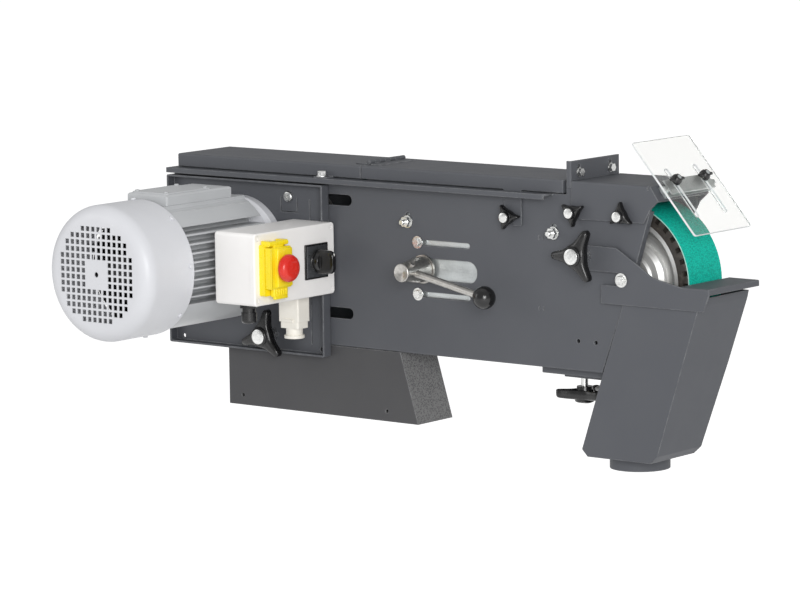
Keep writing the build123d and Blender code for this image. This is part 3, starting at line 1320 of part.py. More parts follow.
def shield_hinge():
    """The galvanised angle on the hood's lip, with two ears for the pivots."""
    lip_low, lip_high = Vector(838.0, 0, 328.0), Vector(825.0, 0, 347.0)
    run = (lip_high - lip_low).normalized()
    out = Vector(-run.Z, 0, run.X) * -1
    start = lip_low + run * 2.0
    end = lip_low + run * 19.0
    corners = [start, end, end + out * 1.8, start + out * 1.8]
    leg = side_panel([(c.X, c.Z) for c in corners], (13.0, 116.5))
    pivot = Vector(PIVOT[0], 0, PIVOT[1])
    for y in ((13.0, 15.0), (114.5, 116.5)):
        foot = [start + out * 0.5, end + out * 0.5, pivot + run * 4.0, pivot - run * 4.0]
        ear = side_panel([(c.X, c.Z) for c in foot], y) + rod_y(4.0, PIVOT[0], y, PIVOT[1])
        leg += ear
    return leg - rod_y(PIVOT_R, PIVOT[0], (10.0, 120.0), PIVOT[1])


def pivot_screws():
    """The two screws that the shield's bracket tilts on."""
    screws = []
    for y, way in ((13.0, -1), (116.5, 1)):
        outer = (y - 4.5, y) if way < 0 else (y, y + 4.5)
        shank = (y, y + 7.0) if way < 0 else (y - 7.0, y)
        screws.append(hexagon_y(8.0, PIVOT[0], outer, PIVOT[1]) + rod_y(PIVOT_R, PIVOT[0], shank, PIVOT[1]))
    return screws


def shield_bracket():
    """The tilting galvanised strip under the shield, with two folded ears."""
    low, high = BRACKET_LEVEL
    strip = slope_place(0, 0, 0) * block(BRACKET_ALONG, BRACKET_Y, BRACKET_LEVEL)
    above = slope_place(pivot_along(), 0, 0) * block((-20, 20), (0, 130), (low + 1, 20))
    for y in BRACKET_Y:
        inward = (y, y + SHEET) if y == BRACKET_Y[0] else (y - SHEET, y)
        strip += rod_y(3.8, PIVOT[0], inward, PIVOT[1]) - above
    strip -= rod_y(PIVOT_R + FIT, PIVOT[0], (BRACKET_Y[0] - 5, BRACKET_Y[1] + 5), PIVOT[1])
    for y in WING_Y:
        strip -= slope_place(WING_ALONG, y, 0) * Cylinder(SMALL_STUD_R, 4 * (high - low))
    return strip


def pivot_along():
    """How far down the slope from the shield's middle the pivot lies."""
    offset = Vector(PIVOT[0] - SHIELD_MID[0], 0, PIVOT[1] - SHIELD_MID[1])
    return offset.dot(Vector(*DOWN_SLOPE))


def shield_screws():
    """Round-headed screws that carry the wing nuts."""
    screws = []
    for y in WING_Y:
        shank = Pos(0, 0, 5.0) * Cylinder(SMALL_STUD_R, 14.0)
        head = Pos(0, 0, BRACKET_LEVEL[0] - 0.75) * Cylinder(4.5, 1.5)
        shank -= Pos(0, 0, BRACKET_LEVEL[0] - 5.75) * Cylinder(9.0, 10.0)
        screws.append(slope_place(WING_ALONG, y, 0) * (shank + head))
    return screws


def eye_shield():
    """The clear plate with its two long slots."""
    half = SHIELD_LENGTH / 2
    plate = block((-half, half), SHIELD_Y, (-SHIELD_T / 2, SHIELD_T / 2))
    plate = fillet(plate.edges().filter_by(Axis.Z), 2.0)
    low, high = SLOT_ALONG
    for y in WING_Y:
        slot = SlotCenterToCenter(high - low, 6.8)
        plate -= Pos((low + high) / 2, y, -3.0) * extrude(slot, amount=6.0)
    return slope_place(0, 0, 0) * plate


def wing_nut(y):
    """A moulded wing nut on the shield."""
    seat = SHIELD_T / 2 + GAP
    body = Pos(0, 0, seat) * Cylinder(7.5, 7.0, align=ALIGN_LOW)
    body += Pos(0, 0, seat + 7.0) * Cylinder(5.5, 3.0, align=ALIGN_LOW)
    wing = Pos(0, 0, seat + 4.0) * Box(8.0, 31.0, 5.0, align=ALIGN_LOW)
    body += fillet(wing.edges().filter_by(Axis.Z), 3.0)
    body -= Pos(0, 0, seat - 1) * Cylinder(SMALL_STUD_R + FIT, 20.0, align=ALIGN_LOW)
    return slope_place(WING_ALONG, y, 0) * body


def wing_nut_near():
    """The wing nut next to the user."""
    return wing_nut(WING_Y[0])


def wing_nut_far():
    """The wing nut on the far side."""
    return wing_nut(WING_Y[1])


# ---- export --------------------------------------------------------------------------
NODES = {
    "main_plate": [main_plate],
    "housing_shell": [housing_shell, lid_rails],
    "back_cover": [back_cover],
    "cover_posts": [spacer_posts, cover_screws],
    "base_pedestal": [base_pedestal],
    "rear_lid": [rear_lid],
    "lid_hinge": [rear_hinge_leaf, hinge_pin],
    "side_screws": [lock_screw, chute_screw],
    "front_hood": [front_hood],
    "stop_bracket": [stop_bracket, stop_screws],
    "platen": [platen],
    "platen_studs": [platen_studs],
    "abrasive_belt": [abrasive_belt],
    "wheel_axle": [wheel_axle, axle_screw],
    "bottom_bracket": [bottom_bracket],
    "shield_hinge": [shield_hinge, pivot_screws],
    "work_stop": [work_stop],
    "front_lid": [front_lid, front_hinge_leaf],
    "wheel_hub": [wheel_hub],
    "wheel_tyre": [wheel_tyre],
    "wheel_bearings": [wheel_bearings],
    "chute_side": [chute_side],
    "chute_box": [chute_box, duct_collar],
    "chute_nuts": [chute_nuts],
    "motor_tray": [motor_tray],
    "motor_screws": [motor_screws, fan_cover_screws],
    "end_shields": [motor_flange, rear_shield],
    "stator_frame": [stator_frame],
    "stator_core": [stator_core, windings],
    "motor_bearings": [motor_bearings],
    "fan_cover": [fan_cover],
    "terminal_box": [terminal_box, terminal_cover],
    "slide_plate": [slide_plate],
    "guide_screws": [guide_screws, slide_screws, motor_nut],
    "switch_box": [switch_box],
    "switch_lid": [switch_lid, lid_screws],
    "estop_base": [estop_base, estop_pin],
    "rotary_plate": [rotary_plate],
    "cable_gland": [cable_gland],
    "power_inlet": [power_inlet, inlet_pins],
    "motor_rotor": [motor_shaft, rotor_core],
    "cooling_fan": [cooling_fan],
    "drive_wheel": [drive_wheel, drive_wheel_screw],
    "lever_arm": [lever_hub, lever_rod],
    "lever_ball": [lever_ball],
    "estop_flap": [estop_flap],
    "estop_button": [estop_button],
    "stop_button": [stop_button],
    "start_button": [start_button],
    "rotary_handle": [rotary_handle],
    "chute_knob": [chute_knob],
    "motor_knob": [motor_knob],
    "bracket_knob": [bracket_knob],
    "lid_knob": [lid_knob],
    "hood_knob_rear": [hood_knob_rear],
    "hood_knob_front": [hood_knob_front],
    "shield_bracket": [shield_bracket, shield_screws],
    "eye_shield": [eye_shield],
    "wing_nut_near": [wing_nut_near],
    "wing_nut_far": [wing_nut_far],
}


def write(name, makers):
    """Moves a sub-part to the part's origin and writes its STEP file."""
    solids = []
    for maker in makers:
        made = maker()
        for piece in made if isinstance(made, list) else [made]:
            solids += [Pos(*(-ORIGIN)) * solid for solid in piece.solids()]
    export_step(Compound(children=solids), f"parts/{name}.step")


os.makedirs("parts", exist_ok=True)
for node, node_makers in NODES.items():
    write(node, node_makers)
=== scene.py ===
import json
import math

import bmesh
import bpy
from mathutils import Matrix, Vector


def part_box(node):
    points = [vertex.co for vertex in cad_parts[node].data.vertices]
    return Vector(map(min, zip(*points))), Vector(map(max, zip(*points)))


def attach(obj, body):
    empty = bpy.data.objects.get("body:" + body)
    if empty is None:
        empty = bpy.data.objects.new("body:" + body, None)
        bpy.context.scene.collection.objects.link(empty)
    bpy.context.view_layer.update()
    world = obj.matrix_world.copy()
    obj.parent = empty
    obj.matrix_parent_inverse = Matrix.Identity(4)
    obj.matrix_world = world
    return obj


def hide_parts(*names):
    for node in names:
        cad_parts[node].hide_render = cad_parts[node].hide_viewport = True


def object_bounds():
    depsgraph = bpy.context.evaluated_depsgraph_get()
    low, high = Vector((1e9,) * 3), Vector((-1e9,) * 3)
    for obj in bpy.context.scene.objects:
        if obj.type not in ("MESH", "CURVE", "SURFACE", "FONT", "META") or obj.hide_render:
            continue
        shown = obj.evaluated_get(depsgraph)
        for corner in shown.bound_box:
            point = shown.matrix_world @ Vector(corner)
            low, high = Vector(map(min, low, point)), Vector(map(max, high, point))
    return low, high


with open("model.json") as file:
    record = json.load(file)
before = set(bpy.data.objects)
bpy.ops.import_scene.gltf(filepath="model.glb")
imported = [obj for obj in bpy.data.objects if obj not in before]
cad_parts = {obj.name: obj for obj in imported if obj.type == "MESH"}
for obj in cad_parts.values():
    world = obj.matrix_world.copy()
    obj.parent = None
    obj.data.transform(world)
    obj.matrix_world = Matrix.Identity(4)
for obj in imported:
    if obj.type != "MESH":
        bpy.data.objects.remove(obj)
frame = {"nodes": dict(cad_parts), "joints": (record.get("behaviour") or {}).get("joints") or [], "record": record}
cad_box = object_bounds()

# ---- camera --------------------------------------------------------------------------
# A long lens from the front right, a little above: it looks at the middle of the housing.
LENS = 187.53
SHIFT_UP = 0.0023
CAMERA_PLACE = Vector((3.61638, -4.40033, 0.93434))
LOOK = Vector((-0.61740, 0.77473, -0.13645))
IMAGE_UP = Vector((-0.07411, 0.11540, 0.99055))
BASE_DROP = 0.30  # how far below the base the floor lies: the machine hangs on its stand bolts


def make_camera():
    """The camera at the machine's usual viewing side."""
    data = bpy.data.cameras.new("camera")
    data.lens = LENS
    data.shift_y = SHIFT_UP
    data.clip_end = 50.0
    camera = bpy.data.objects.new("camera", data)
    back = -LOOK.normalized()
    right = IMAGE_UP.cross(back).normalized()
    up = back.cross(right)
    rotation = Matrix((right, up, back)).transposed().to_4x4()
    camera.matrix_world = Matrix.Translation(CAMERA_PLACE) @ rotation
    bpy.context.collection.objects.link(camera)
    bpy.context.scene.camera = camera


# ---- materials -----------------------------------------------------------------------
class Recipe:
    """A material built node by node around one Principled shader."""

    def __init__(self, name):
        self.material = bpy.data.materials.new(name)
        self.material.use_nodes = True
        self.tree = self.material.node_tree
        self.shader = self.tree.nodes["Principled BSDF"]
        self.place = self.node("TexCoord").outputs["Object"]

    def put(self, socket, value):
        """Links a socket to another, or sets its value."""
        if isinstance(value, bpy.types.NodeSocket):
            self.tree.links.new(value, socket)
        else:
            socket.default_value = value

    def node(self, kind, inputs=(), **settings):
        """Adds a node, with its inputs given by name or number."""
        made = self.tree.nodes.new("ShaderNode" + kind)
        for key, value in settings.items():
            setattr(made, key, value)
        for key, value in dict(inputs).items():
            self.put(made.inputs[key], value)
        return made

    def noise(self, scale, detail=4.0, rough=0.55, stretch=None):
        """Fractal noise in the machine's own space; scale is in features per metre."""
        place = self.place
        if stretch:
            place = self.node("Mapping", {"Vector": place, "Scale": stretch}).outputs[0]
        inputs = {"Vector": place, "Scale": scale, "Detail": detail, "Roughness": rough}
        return self.node("TexNoise", inputs).outputs[0]

    def cells(self, scale, output="Color", stretch=None):
        """Random cells, for crystals and grains."""
        place = self.place
        if stretch:
            place = self.node("Mapping", {"Vector": place, "Scale": stretch}).outputs[0]
        return self.node("TexVoronoi", {"Vector": place, "Scale": scale}).outputs[output]

    def spread(self, value, low, high, out_low=0.0, out_high=1.0):
        """Maps a range of values to another, clamped."""
        inputs = {0: value, 1: low, 2: high, 3: out_low, 4: out_high}
        return self.node("MapRange", inputs).outputs[0]

    def maths(self, operation, first, second):
        """One arithmetic step."""
        return self.node("Math", {0: first, 1: second}, operation=operation).outputs[0]

    def mix(self, factor, first, second, blend="MIX"):
        """Mixes two colours."""
        made = self.node("Mix", data_type="RGBA", blend_type=blend)
        self.put(made.inputs[0], factor)
        self.put(made.inputs[6], first)
        self.put(made.inputs[7], second)
        return made.outputs[2]

    def edges(self, radius, sharpness=0.12):
        """How close a point is to an edge, from 0 to 1, broken up by noise: used to lighten edges, partly as wear
        and partly as painted highlight.
        """
        rounded = self.node("Bevel", {"Radius": radius}, samples=4).outputs[0]
        flat = self.node("NewGeometry").outputs["Normal"]
        match = self.node("VectorMath", {0: rounded, 1: flat}, operation="DOT_PRODUCT").outputs["Value"]
        edge = self.spread(match, 1.0 - sharpness, 0.999, 1.0, 0.0)
        return self.maths("MULTIPLY", edge, self.spread(self.noise(90.0), 0.35, 0.62, 0.25, 1.0))

    def bump(self, height, strength, distance, radius=0.0):
        """Small relief, over edges that are rounded a little in the shading."""
        inputs = {"Height": height, "Strength": strength, "Distance": distance}
        if radius:
            inputs["Normal"] = self.node("Bevel", {"Radius": radius}, samples=4).outputs[0]
        self.put(self.shader.inputs["Normal"], self.node("Bump", inputs).outputs[0])

    def set(self, **values):
        """Sets the shader's own sockets: underscores stand for spaces."""
        for key, value in values.items():
            self.put(self.shader.inputs[key.replace("_", " ")], value)
        return self


def rgb(red, green, blue):
    """A colour given as it looks on screen, 0 to 255, as the shader's linear value."""
    linear = [(c / 255 / 12.92) if c < 11 else ((c / 255 + 0.055) / 1.055) ** 2.4 for c in (red, green, blue)]
    return (*linear, 1.0)


def powder_coat(name, base, light, edge_radius=0.0012, grit_and_lit_end=False):
    """Satin powder coat: fine orange peel, faint clouds, edges lightened partly as wear and partly as painted
    highlight, and on faces towards +X a pale grit that also paints light onto that side.
    """
    r = Recipe(name)
    clouds = r.spread(r.noise(9.0, 5.0), 0.35, 0.7)
    colour = r.mix(r.maths("MULTIPLY", clouds, 0.35), base, light)
    speck = r.spread(r.noise(900.0, 2.0), 0.62, 0.75, 0.0, 0.25)
    colour = r.mix(speck, colour, light)
    if grit_and_lit_end:
        # Pale grit only on faces towards +X: partly a grit texture, partly painted light that brightens that side
        # of the base.
        grit_and_end_light = r.spread(r.cells(420.0, "Distance"), 0.15, 0.6)
        facing_x = r.node("SeparateXYZ", {0: r.node("TexCoord").outputs["Normal"]}).outputs[0]
        grit_and_end_light = r.maths("MULTIPLY", grit_and_end_light, r.spread(facing_x, 0.6, 0.8))
        colour = r.mix(grit_and_end_light, colour, rgb(120, 120, 120))
    # Lighter edges: partly wear, partly a painted highlight along the edges.
    edge = r.maths("MULTIPLY", r.edges(edge_radius), 0.75)
    colour = r.mix(edge, colour, rgb(156, 157, 159))
    rough = r.spread(r.noise(30.0, 6.0), 0.3, 0.75, 0.54, 0.60)
    r.bump(r.noise(700.0, 3.0), 0.18, 0.0003, edge_radius)
    return r.set(Base_Color=colour, Roughness=rough, Metallic=0.0, Specular_IOR_Level=0.3)


def cast_enamel(name, base, light):
    """Enamel sprayed over a casting, with a softer texture."""
    r = Recipe(name)
    clouds = r.spread(r.noise(16.0, 5.0), 0.3, 0.7)
    colour = r.mix(r.maths("MULTIPLY", clouds, 0.5), base, light)
    # Lighter edges: partly wear, partly a painted highlight along the edges.
    edge = r.maths("MULTIPLY", r.edges(0.0010), 0.45)
    colour = r.mix(edge, colour, rgb(205, 207, 208))
    rough = r.spread(r.noise(45.0, 5.0), 0.3, 0.7, 0.34, 0.50)
    r.bump(r.noise(420.0, 4.0), 0.22, 0.0005, 0.0009)
    return r.set(Base_Color=colour, Roughness=rough, Metallic=0.0, Specular_IOR_Level=0.45)


def galvanised(name):
    """Zinc sheet with its cloudy crystals."""
    r = Recipe(name)
    crystal = r.node("SeparateColor", {0: r.cells(620.0)}).outputs[0]
    cloud = r.spread(r.noise(38.0, 6.0), 0.3, 0.7)
    tone = r.maths("ADD", r.maths("MULTIPLY", crystal, 0.35), r.maths("MULTIPLY", cloud, 0.65))
    colour = r.mix(tone, rgb(184, 189, 190), rgb(212, 216, 216))
    rough = r.spread(crystal, 0.0, 1.0, 0.30, 0.50)
    r.bump(tone, 0.06, 0.0002, 0.0005)
    return r.set(Base_Color=colour, Roughness=rough, Metallic=0.7)


def bright_metal(name, low, high, stretch=None, scale=300.0, roughness=(0.20, 0.36), edge_radius=0.0004):
    """Bright steel or zinc plate with fine, shallow marks."""
    r = Recipe(name)
    marks = r.noise(scale, 4.0, 0.6, stretch)
    colour = r.mix(r.spread(marks, 0.3, 0.7), low, high)
    rough = r.spread(marks, 0.3, 0.7, *roughness)
    r.bump(marks, 0.04, 0.0001, edge_radius)
    return r.set(Base_Color=colour, Roughness=rough, Metallic=1.0)


def turned(name, low, high, axis_x, axis_z, pitch=1400.0):
    """Metal turned about an axis along Y: rings that follow the radius."""
    r = Recipe(name)
    centre = r.node("VectorMath", {0: r.place, 1: (axis_x, 0.0, axis_z)}, operation="SUBTRACT").outputs[0]
    split = r.node("SeparateXYZ", {0: centre})
    flat = r.node("CombineXYZ", {0: split.outputs[0], 2: split.outputs[2]}).outputs[0]
    radius = r.node("VectorMath", {0: flat}, operation="LENGTH").outputs["Value"]
    across = r.maths("MULTIPLY", radius, pitch)
    along = r.maths("MULTIPLY", split.outputs[1], pitch)
    line = r.node("CombineXYZ", {0: across, 1: along})
    rings = r.node("TexNoise", {"Vector": line.outputs[0], "Scale": 1.0, "Detail": 3.0}).outputs[0]
    stain = r.spread(r.noise(60.0, 5.0), 0.35, 0.75)
    colour = r.mix(r.spread(rings, 0.3, 0.7), low, high)
    colour = r.mix(r.maths("MULTIPLY", stain, 0.3), colour, low)
    rough = r.spread(rings, 0.3, 0.7, 0.36, 0.52)
    r.bump(rings, 0.10, 0.0002, 0.0006)
    return r.set(Base_Color=colour, Roughness=rough, Metallic=0.6)


def plastic(name, base, light, rough=(0.30, 0.42), grain=1800.0, strength=0.12, edge_light=None):
    """Moulded plastic with a fine grain, faint handling marks and paler edges."""
    r = Recipe(name)
    cloud = r.spread(r.noise(40.0, 5.0), 0.35, 0.7)
    colour = r.mix(r.maths("MULTIPLY", cloud, 0.6), base, light)
    # Paler edges when edge_light is given: partly wear, partly a painted highlight.
    if edge_light:
        colour = r.mix(r.maths("MULTIPLY", r.edges(0.0006), 0.4), colour, edge_light)
    roughness = r.spread(r.noise(120.0, 6.0), 0.35, 0.75, *rough)
    r.bump(r.noise(grain, 2.0), strength, 0.0002, 0.0006)
    return r.set(Base_Color=colour, Roughness=roughness, Metallic=0.0)


def rubber(name):
    """Dull black rubber with grinding dust in it."""
    r = Recipe(name)
    dust = r.spread(r.noise(150.0, 6.0), 0.5, 0.75, 0.0, 0.45)
    colour = r.mix(dust, rgb(52, 48, 44), rgb(112, 104, 96))
    r.bump(r.noise(1300.0, 3.0), 0.3, 0.0003, 0.0005)
    return r.set(Base_Color=colour, Roughness=r.spread(dust, 0.0, 0.45, 0.62, 0.85))


def abrasive(name):
    """Teal abrasive: packed grains, darker pits and a few bright points."""
    r = Recipe(name)
    grains = r.cells(520.0, "Distance")
    speckle = r.noise(900.0, 2.0, 0.7)
    colour = r.mix(r.spread(grains, 0.1, 0.75), rgb(8, 214, 190), rgb(0, 158, 140))
    colour = r.mix(r.spread(speckle, 0.60, 0.78, 0.0, 0.5), colour, rgb(84, 214, 194))
    wear = r.spread(r.noise(26.0, 4.0, 0.5, (0.4, 1.0, 0.4)), 0.4, 0.75, 0.0, 0.25)
    colour = r.mix(wear, colour, rgb(8, 160, 144))
    r.bump(r.maths("ADD", grains, speckle), 0.40, 0.0003)
    r.set(Specular_IOR_Level=0.2)
    return r.set(Base_Color=colour, Roughness=r.spread(speckle, 0.3, 0.7, 0.55, 0.8))


def cloth_back(name):
    """The belt's woven backing."""
    r = Recipe(name)
    weave = {"Vector": r.place, "Scale": 380.0, "Distortion": 1.0}
    warp = r.node("TexWave", weave, bands_direction="Y").outputs[0]
    colour = r.mix(r.spread(r.noise(80.0), 0.3, 0.7), rgb(150, 200, 188), rgb(184, 222, 212))
    colour = r.mix(r.maths("MULTIPLY", warp, 0.3), colour, rgb(120, 176, 164))
    r.bump(warp, 0.4, 0.0003)
    return r.set(Base_Color=colour, Roughness=r.spread(warp, 0.0, 1.0, 0.7, 0.9))


def clear_sheet(name):
    """Clear polycarbonate with faint wipe marks."""
    r = Recipe(name)
    wipes = r.noise(35.0, 7.0, 0.65, (1.0, 5.0, 1.0))
    rough = r.spread(wipes, 0.35, 0.8, 0.02, 0.07)
    colour = r.mix(r.spread(wipes, 0.3, 0.8), rgb(250, 250, 248), rgb(244, 244, 242))
    r.bump(wipes, 0.02, 0.0002)
    return r.set(Base_Color=colour, Roughness=rough, Transmission_Weight=0.96, IOR=1.22)


def sheet_edge(name):
    """The sheet's sawn and frosted edge."""
    r = Recipe(name)
    saw = r.noise(500.0, 4.0, 0.6, (1.0, 1.0, 0.2))
    colour = r.mix(r.spread(saw, 0.3, 0.7), rgb(232, 236, 236), rgb(250, 251, 251))
    r.bump(saw, 0.3, 0.0002)
    return r.set(Base_Color=colour, Roughness=r.spread(saw, 0.3, 0.7, 0.35, 0.6), Transmission_Weight=0.25)


def floor_paint(name):
    """The plain pale floor."""
    r = Recipe(name)
    colour = r.mix(r.spread(r.noise(1.5, 4.0), 0.3, 0.7), rgb(250, 250, 250), rgb(253, 253, 253))
    r.set(Emission_Color=colour, Emission_Strength=0.55)
    return r.set(Base_Color=colour, Roughness=r.spread(r.noise(8.0), 0.3, 0.7, 0.7, 0.8))


def bearing_axis(name):
    """The place of a node's turning axis along Y, from the node's own box."""
    low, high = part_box(name)
    return (low[0] + high[0]) / 2, (low[2] + high[2]) / 2


def make_materials():
    """Every finish, by the record's material slot."""
    wheel_x, wheel_z = bearing_axis("wheel_hub")
    made = {
        "anthracite_paint": powder_coat("anthracite_paint", rgb(83, 85, 90), rgb(92, 94, 98), 0.002),
        "base_paint": powder_coat("base_paint", rgb(72, 72, 74), rgb(84, 84, 85), 0.002, True),
        "motor_grey": cast_enamel("motor_grey", rgb(214, 215, 219), rgb(222, 223, 227)),
        "zinc_plate": galvanised("zinc_plate"),
        "bright_fasteners": bright_metal("bright_fasteners", rgb(190, 191, 190), rgb(232, 232, 230)),
        # A darker copy of motor_grey: painted shade standing in for the shading on the fins and the motor's right
        # side.
        "shaded_fin_grey": cast_enamel("shaded_fin_grey", rgb(186, 188, 190), rgb(196, 198, 200)),
        "inlet_plastic": plastic("inlet_plastic", rgb(240, 236, 226), rgb(247, 244, 236), (0.35, 0.48)),
        "turned_steel": bright_metal("turned_steel", rgb(158, 156, 152), rgb(186, 184, 180),
                                     roughness=(0.3, 0.42)),
        "inner_steel": bright_metal("inner_steel", rgb(88, 88, 90), rgb(120, 120, 122), roughness=(0.4, 0.6)),
        "wheel_aluminium": turned("wheel_aluminium", rgb(206, 206, 204), rgb(236, 236, 234),
                                  wheel_x, wheel_z),
        "wheel_rubber": rubber("wheel_rubber"),
        "belt_grain": abrasive("belt_grain"),
        "black_plastic": plastic("black_plastic", rgb(12, 12, 13), rgb(24, 24, 25), (0.22, 0.34)),
        "box_plastic": plastic("box_plastic", rgb(250, 248, 246), rgb(254, 252, 250), (0.28, 0.42)),
        "yellow_plastic": plastic("yellow_plastic", rgb(252, 226, 20), rgb(254, 234, 48), (0.25, 0.38)),
        "red_plastic": plastic("red_plastic", rgb(216, 34, 22), rgb(232, 56, 38), (0.22, 0.34)),
        "green_plastic": plastic("green_plastic", rgb(28, 140, 62), rgb(48, 160, 80), (0.25, 0.38)),
        "clear_plastic": clear_sheet("clear_plastic"),
        "sheet_edge": sheet_edge("sheet_edge"),
        "cloth_back": cloth_back("cloth_back"),
        "gloss_black": plastic("gloss_black", rgb(16, 16, 17), rgb(26, 26, 27), (0.16, 0.28), 900.0, 0.05),
        "white_mark": plastic("white_mark", rgb(235, 235, 232), rgb(246, 246, 244)),
        "dial_plate": bright_metal("dial_plate", rgb(96, 98, 100), rgb(134, 136, 138),
                                   (1.0, 1.0, 14.0), 200.0, (0.35, 0.5)),
    }
    return {slot: recipe.material for slot, recipe in made.items()}


# The stator frame and terminal box take the darker copy of the motor grey, which is painted shade.
OWN_FINISH = {"base_pedestal": "base_paint", "stator_frame": "shaded_fin_grey", "terminal_box": "shaded_fin_grey",
              "power_inlet": "inlet_plastic"}


def dress_nodes(materials):
    """Gives each node of the frame the finish of its slot."""
    for entry in frame["record"]["subparts"]:
        node = frame["nodes"][entry["node"]]
        node.data.materials.clear()
        finish = OWN_FINISH.get(entry["node"], entry["material_slot"])
        node.data.materials.append(materials[finish])


# ---- mesh tools ----------------------------------------------------------------------
MM = 0.001
SHARP_ANGLE = math.radians(38.0)
ROUND = 72  # points round a turned piece


class Shape:
    """A mesh being built, in millimetres, from stacked rings and rounded blocks."""

    def __init__(self):
        self.mesh = bmesh.new()

    def stack(self, rings, place=Matrix(), material=0, ends=(True, True)):
        """Joins rings of points with faces, and closes the ends with fans."""
        loops = [[self.mesh.verts.new(place @ Vector(point)) for point in ring] for ring in rings]
        made = []
        for low, high in zip(loops, loops[1:]):
            for i in range(len(low)):
                j = (i + 1) % len(low)
                made.append(self.mesh.faces.new((low[i], low[j], high[j], high[i])))
        for loop, wanted, flip in ((loops[0], ends[0], True), (loops[-1], ends[1], False)):
            if wanted:
                middle = self.mesh.verts.new(sum((v.co for v in loop), Vector()) / len(loop))
                for i in range(len(loop)):
                    pair = (loop[i], loop[(i + 1) % len(loop)])
                    made.append(self.mesh.faces.new((*(pair[::-1] if flip else pair), middle)))
        for face in made:
            face.material_index = material
        return made

    def lathe(self, profile, place=Matrix(), material=0, ends=(True, True), points=ROUND):
        """A turned piece about local z, from (radius, height) pairs."""
        rings = [[(r * math.cos(a), r * math.sin(a), h) for a in circle(points)] for r, h in profile]
        return self.stack(rings, place, material, ends)

    def hexagon(self, flats, low, high, place=Matrix(), material=0):
        """A hexagon head whose outer corners are turned down."""
        def reach(angle):
            return flats / 2 / math.cos((angle + math.pi / 6) % (math.pi / 3) - math.pi / 6)
        def turned_down(angle):
            return high - 0.577 * max(0, reach(angle) - crown)
        crown = 0.46 * flats
        dish = 0.7 * crown
        angles = circle(ROUND)
        rings = [[(reach(a) * math.cos(a), reach(a) * math.sin(a), low) for a in angles]]
        rings.append([(reach(a) * math.cos(a), reach(a) * math.sin(a), turned_down(a)) for a in angles])
        rings.append([(crown * math.cos(a), crown * math.sin(a), high) for a in angles])
        rings.append([(dish * math.cos(a), dish * math.sin(a), high - 0.25) for a in angles])
        return self.stack(rings, place, material)

    def block(self, low, high, radius, place=Matrix(), material=0, steps=3):
        """A box with rounded edges between two corners."""
        made = bmesh.ops.create_cube(self.mesh, size=1.0)["verts"]
        size = Vector(high) - Vector(low)
        middle = (Vector(high) + Vector(low)) / 2
        for v in made:
            v.co = Vector(a * b for a, b in zip(v.co, size)) + middle
        edges = list({e for v in made for e in v.link_edges})
        result = bmesh.ops.bevel(self.mesh, geom=edges, offset=radius, segments=steps, profile=0.5,
                                 affect="EDGES")
        faces = {f for v in result["verts"] for f in v.link_faces}
        for v in {v for f in faces for v in f.verts}:
            v.co = place @ v.co
        for face in faces:
            face.material_index = material

    def piece(self, name, finishes, body, nodes=()):
        """Turns the shape into an object in metres that rides on a body."""
        self.mesh.transform(Matrix.Scale(MM, 4))
        bmesh.ops.recalc_face_normals(self.mesh, faces=self.mesh.faces)
        for face in self.mesh.faces:
            face.smooth = True
        for edge in self.mesh.edges:
            if len(edge.link_faces) == 2 and edge.calc_face_angle() > SHARP_ANGLE:
                edge.smooth = False
        data = bpy.data.meshes.new(name)
        self.mesh.to_mesh(data)
        self.mesh.free()
        made = bpy.data.objects.new(name, data)
        bpy.context.collection.objects.link(made)
        for finish in finishes:
            data.materials.append(finish)
        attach(made, body)
        if nodes:
            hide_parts(*nodes)
        return made


def circle(points):
    """Evenly spaced angles round a circle."""
    return [2 * math.pi * i / points for i in range(points)]


def box_mm(node):
    """A node's low and high corners in millimetres."""
    low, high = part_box(node)
    return Vector(low) / MM, Vector(high) / MM


def joint_point(name):
    """A joint's point in millimetres."""
    joint = next(j for j in frame["joints"] if j["name"] == name)
    return Vector(joint["pos_m"]) / MM


def facing(point, out=(0, -1, 0), turn=0.0):
    """A place whose local z points out, turned about it; local x stays level where it can."""
    z = Vector(out).normalized()
    x = Vector((1, 0, 0)) if abs(z.x) < 0.9 else Vector((0, 1, 0))
    y = z.cross(x).normalized()
    x = y.cross(z)
    basis = Matrix((x, y, z)).transposed().to_4x4()
    return Matrix.Translation(point) @ basis @ Matrix.Rotation(turn, 4, "Z")


# ---- clamping knobs ------------------------------------------------------------------
def tapered_arm(x, y, root, tip, length):
    """Distance from a point to an arm that narrows along +x from a root radius to a tip radius."""
    y = abs(y)
    slope = (root - tip) / length
    side = math.sqrt(1 - slope * slope)
    along = -slope * y + side * x
    if along < 0:
        return math.hypot(x, y) - root
    if along > side * length:
        return math.hypot(x - length, y) - tip
    return side * y + slope * x - root


def soft_union(distances, blend):
    """The least of some distances, with rounded inside corners."""
    return -blend * math.log(sum(math.exp(-d / blend) for d in distances))


def star_reach(angle, inset, size):
    """How far a star knob reaches in a direction, moved inwards by an inset."""
    hub, root, tip, reach, blend = size
    low, high = 0.0, 1.3 * reach
    for _ in range(26):
        middle = (low + high) / 2
        distances = [middle - hub]
        for arm in range(3):
            turn = angle - arm * 2 * math.pi / 3
            arm_x, arm_y = middle * math.cos(turn), middle * math.sin(turn)
            distances.append(tapered_arm(arm_x, arm_y, root, tip, reach - tip))
        if soft_union(distances, blend) + inset < 0:
            low = middle
        else:
            high = middle
    return low


def star_grip(shape, place, size, layers, points=144):
    """A three-armed grip from (inset, height at the hub, drop at the tips) layers."""
    reach = size[3]
    rings = []
    for inset, height, drop in layers:
        ring = []
        for angle in circle(points):
            r = star_reach(angle, inset, size)
            ring.append((r * math.cos(angle), r * math.sin(angle), height - drop * (r / reach) ** 2))
        rings.append(ring)
    shape.stack(rings, place)


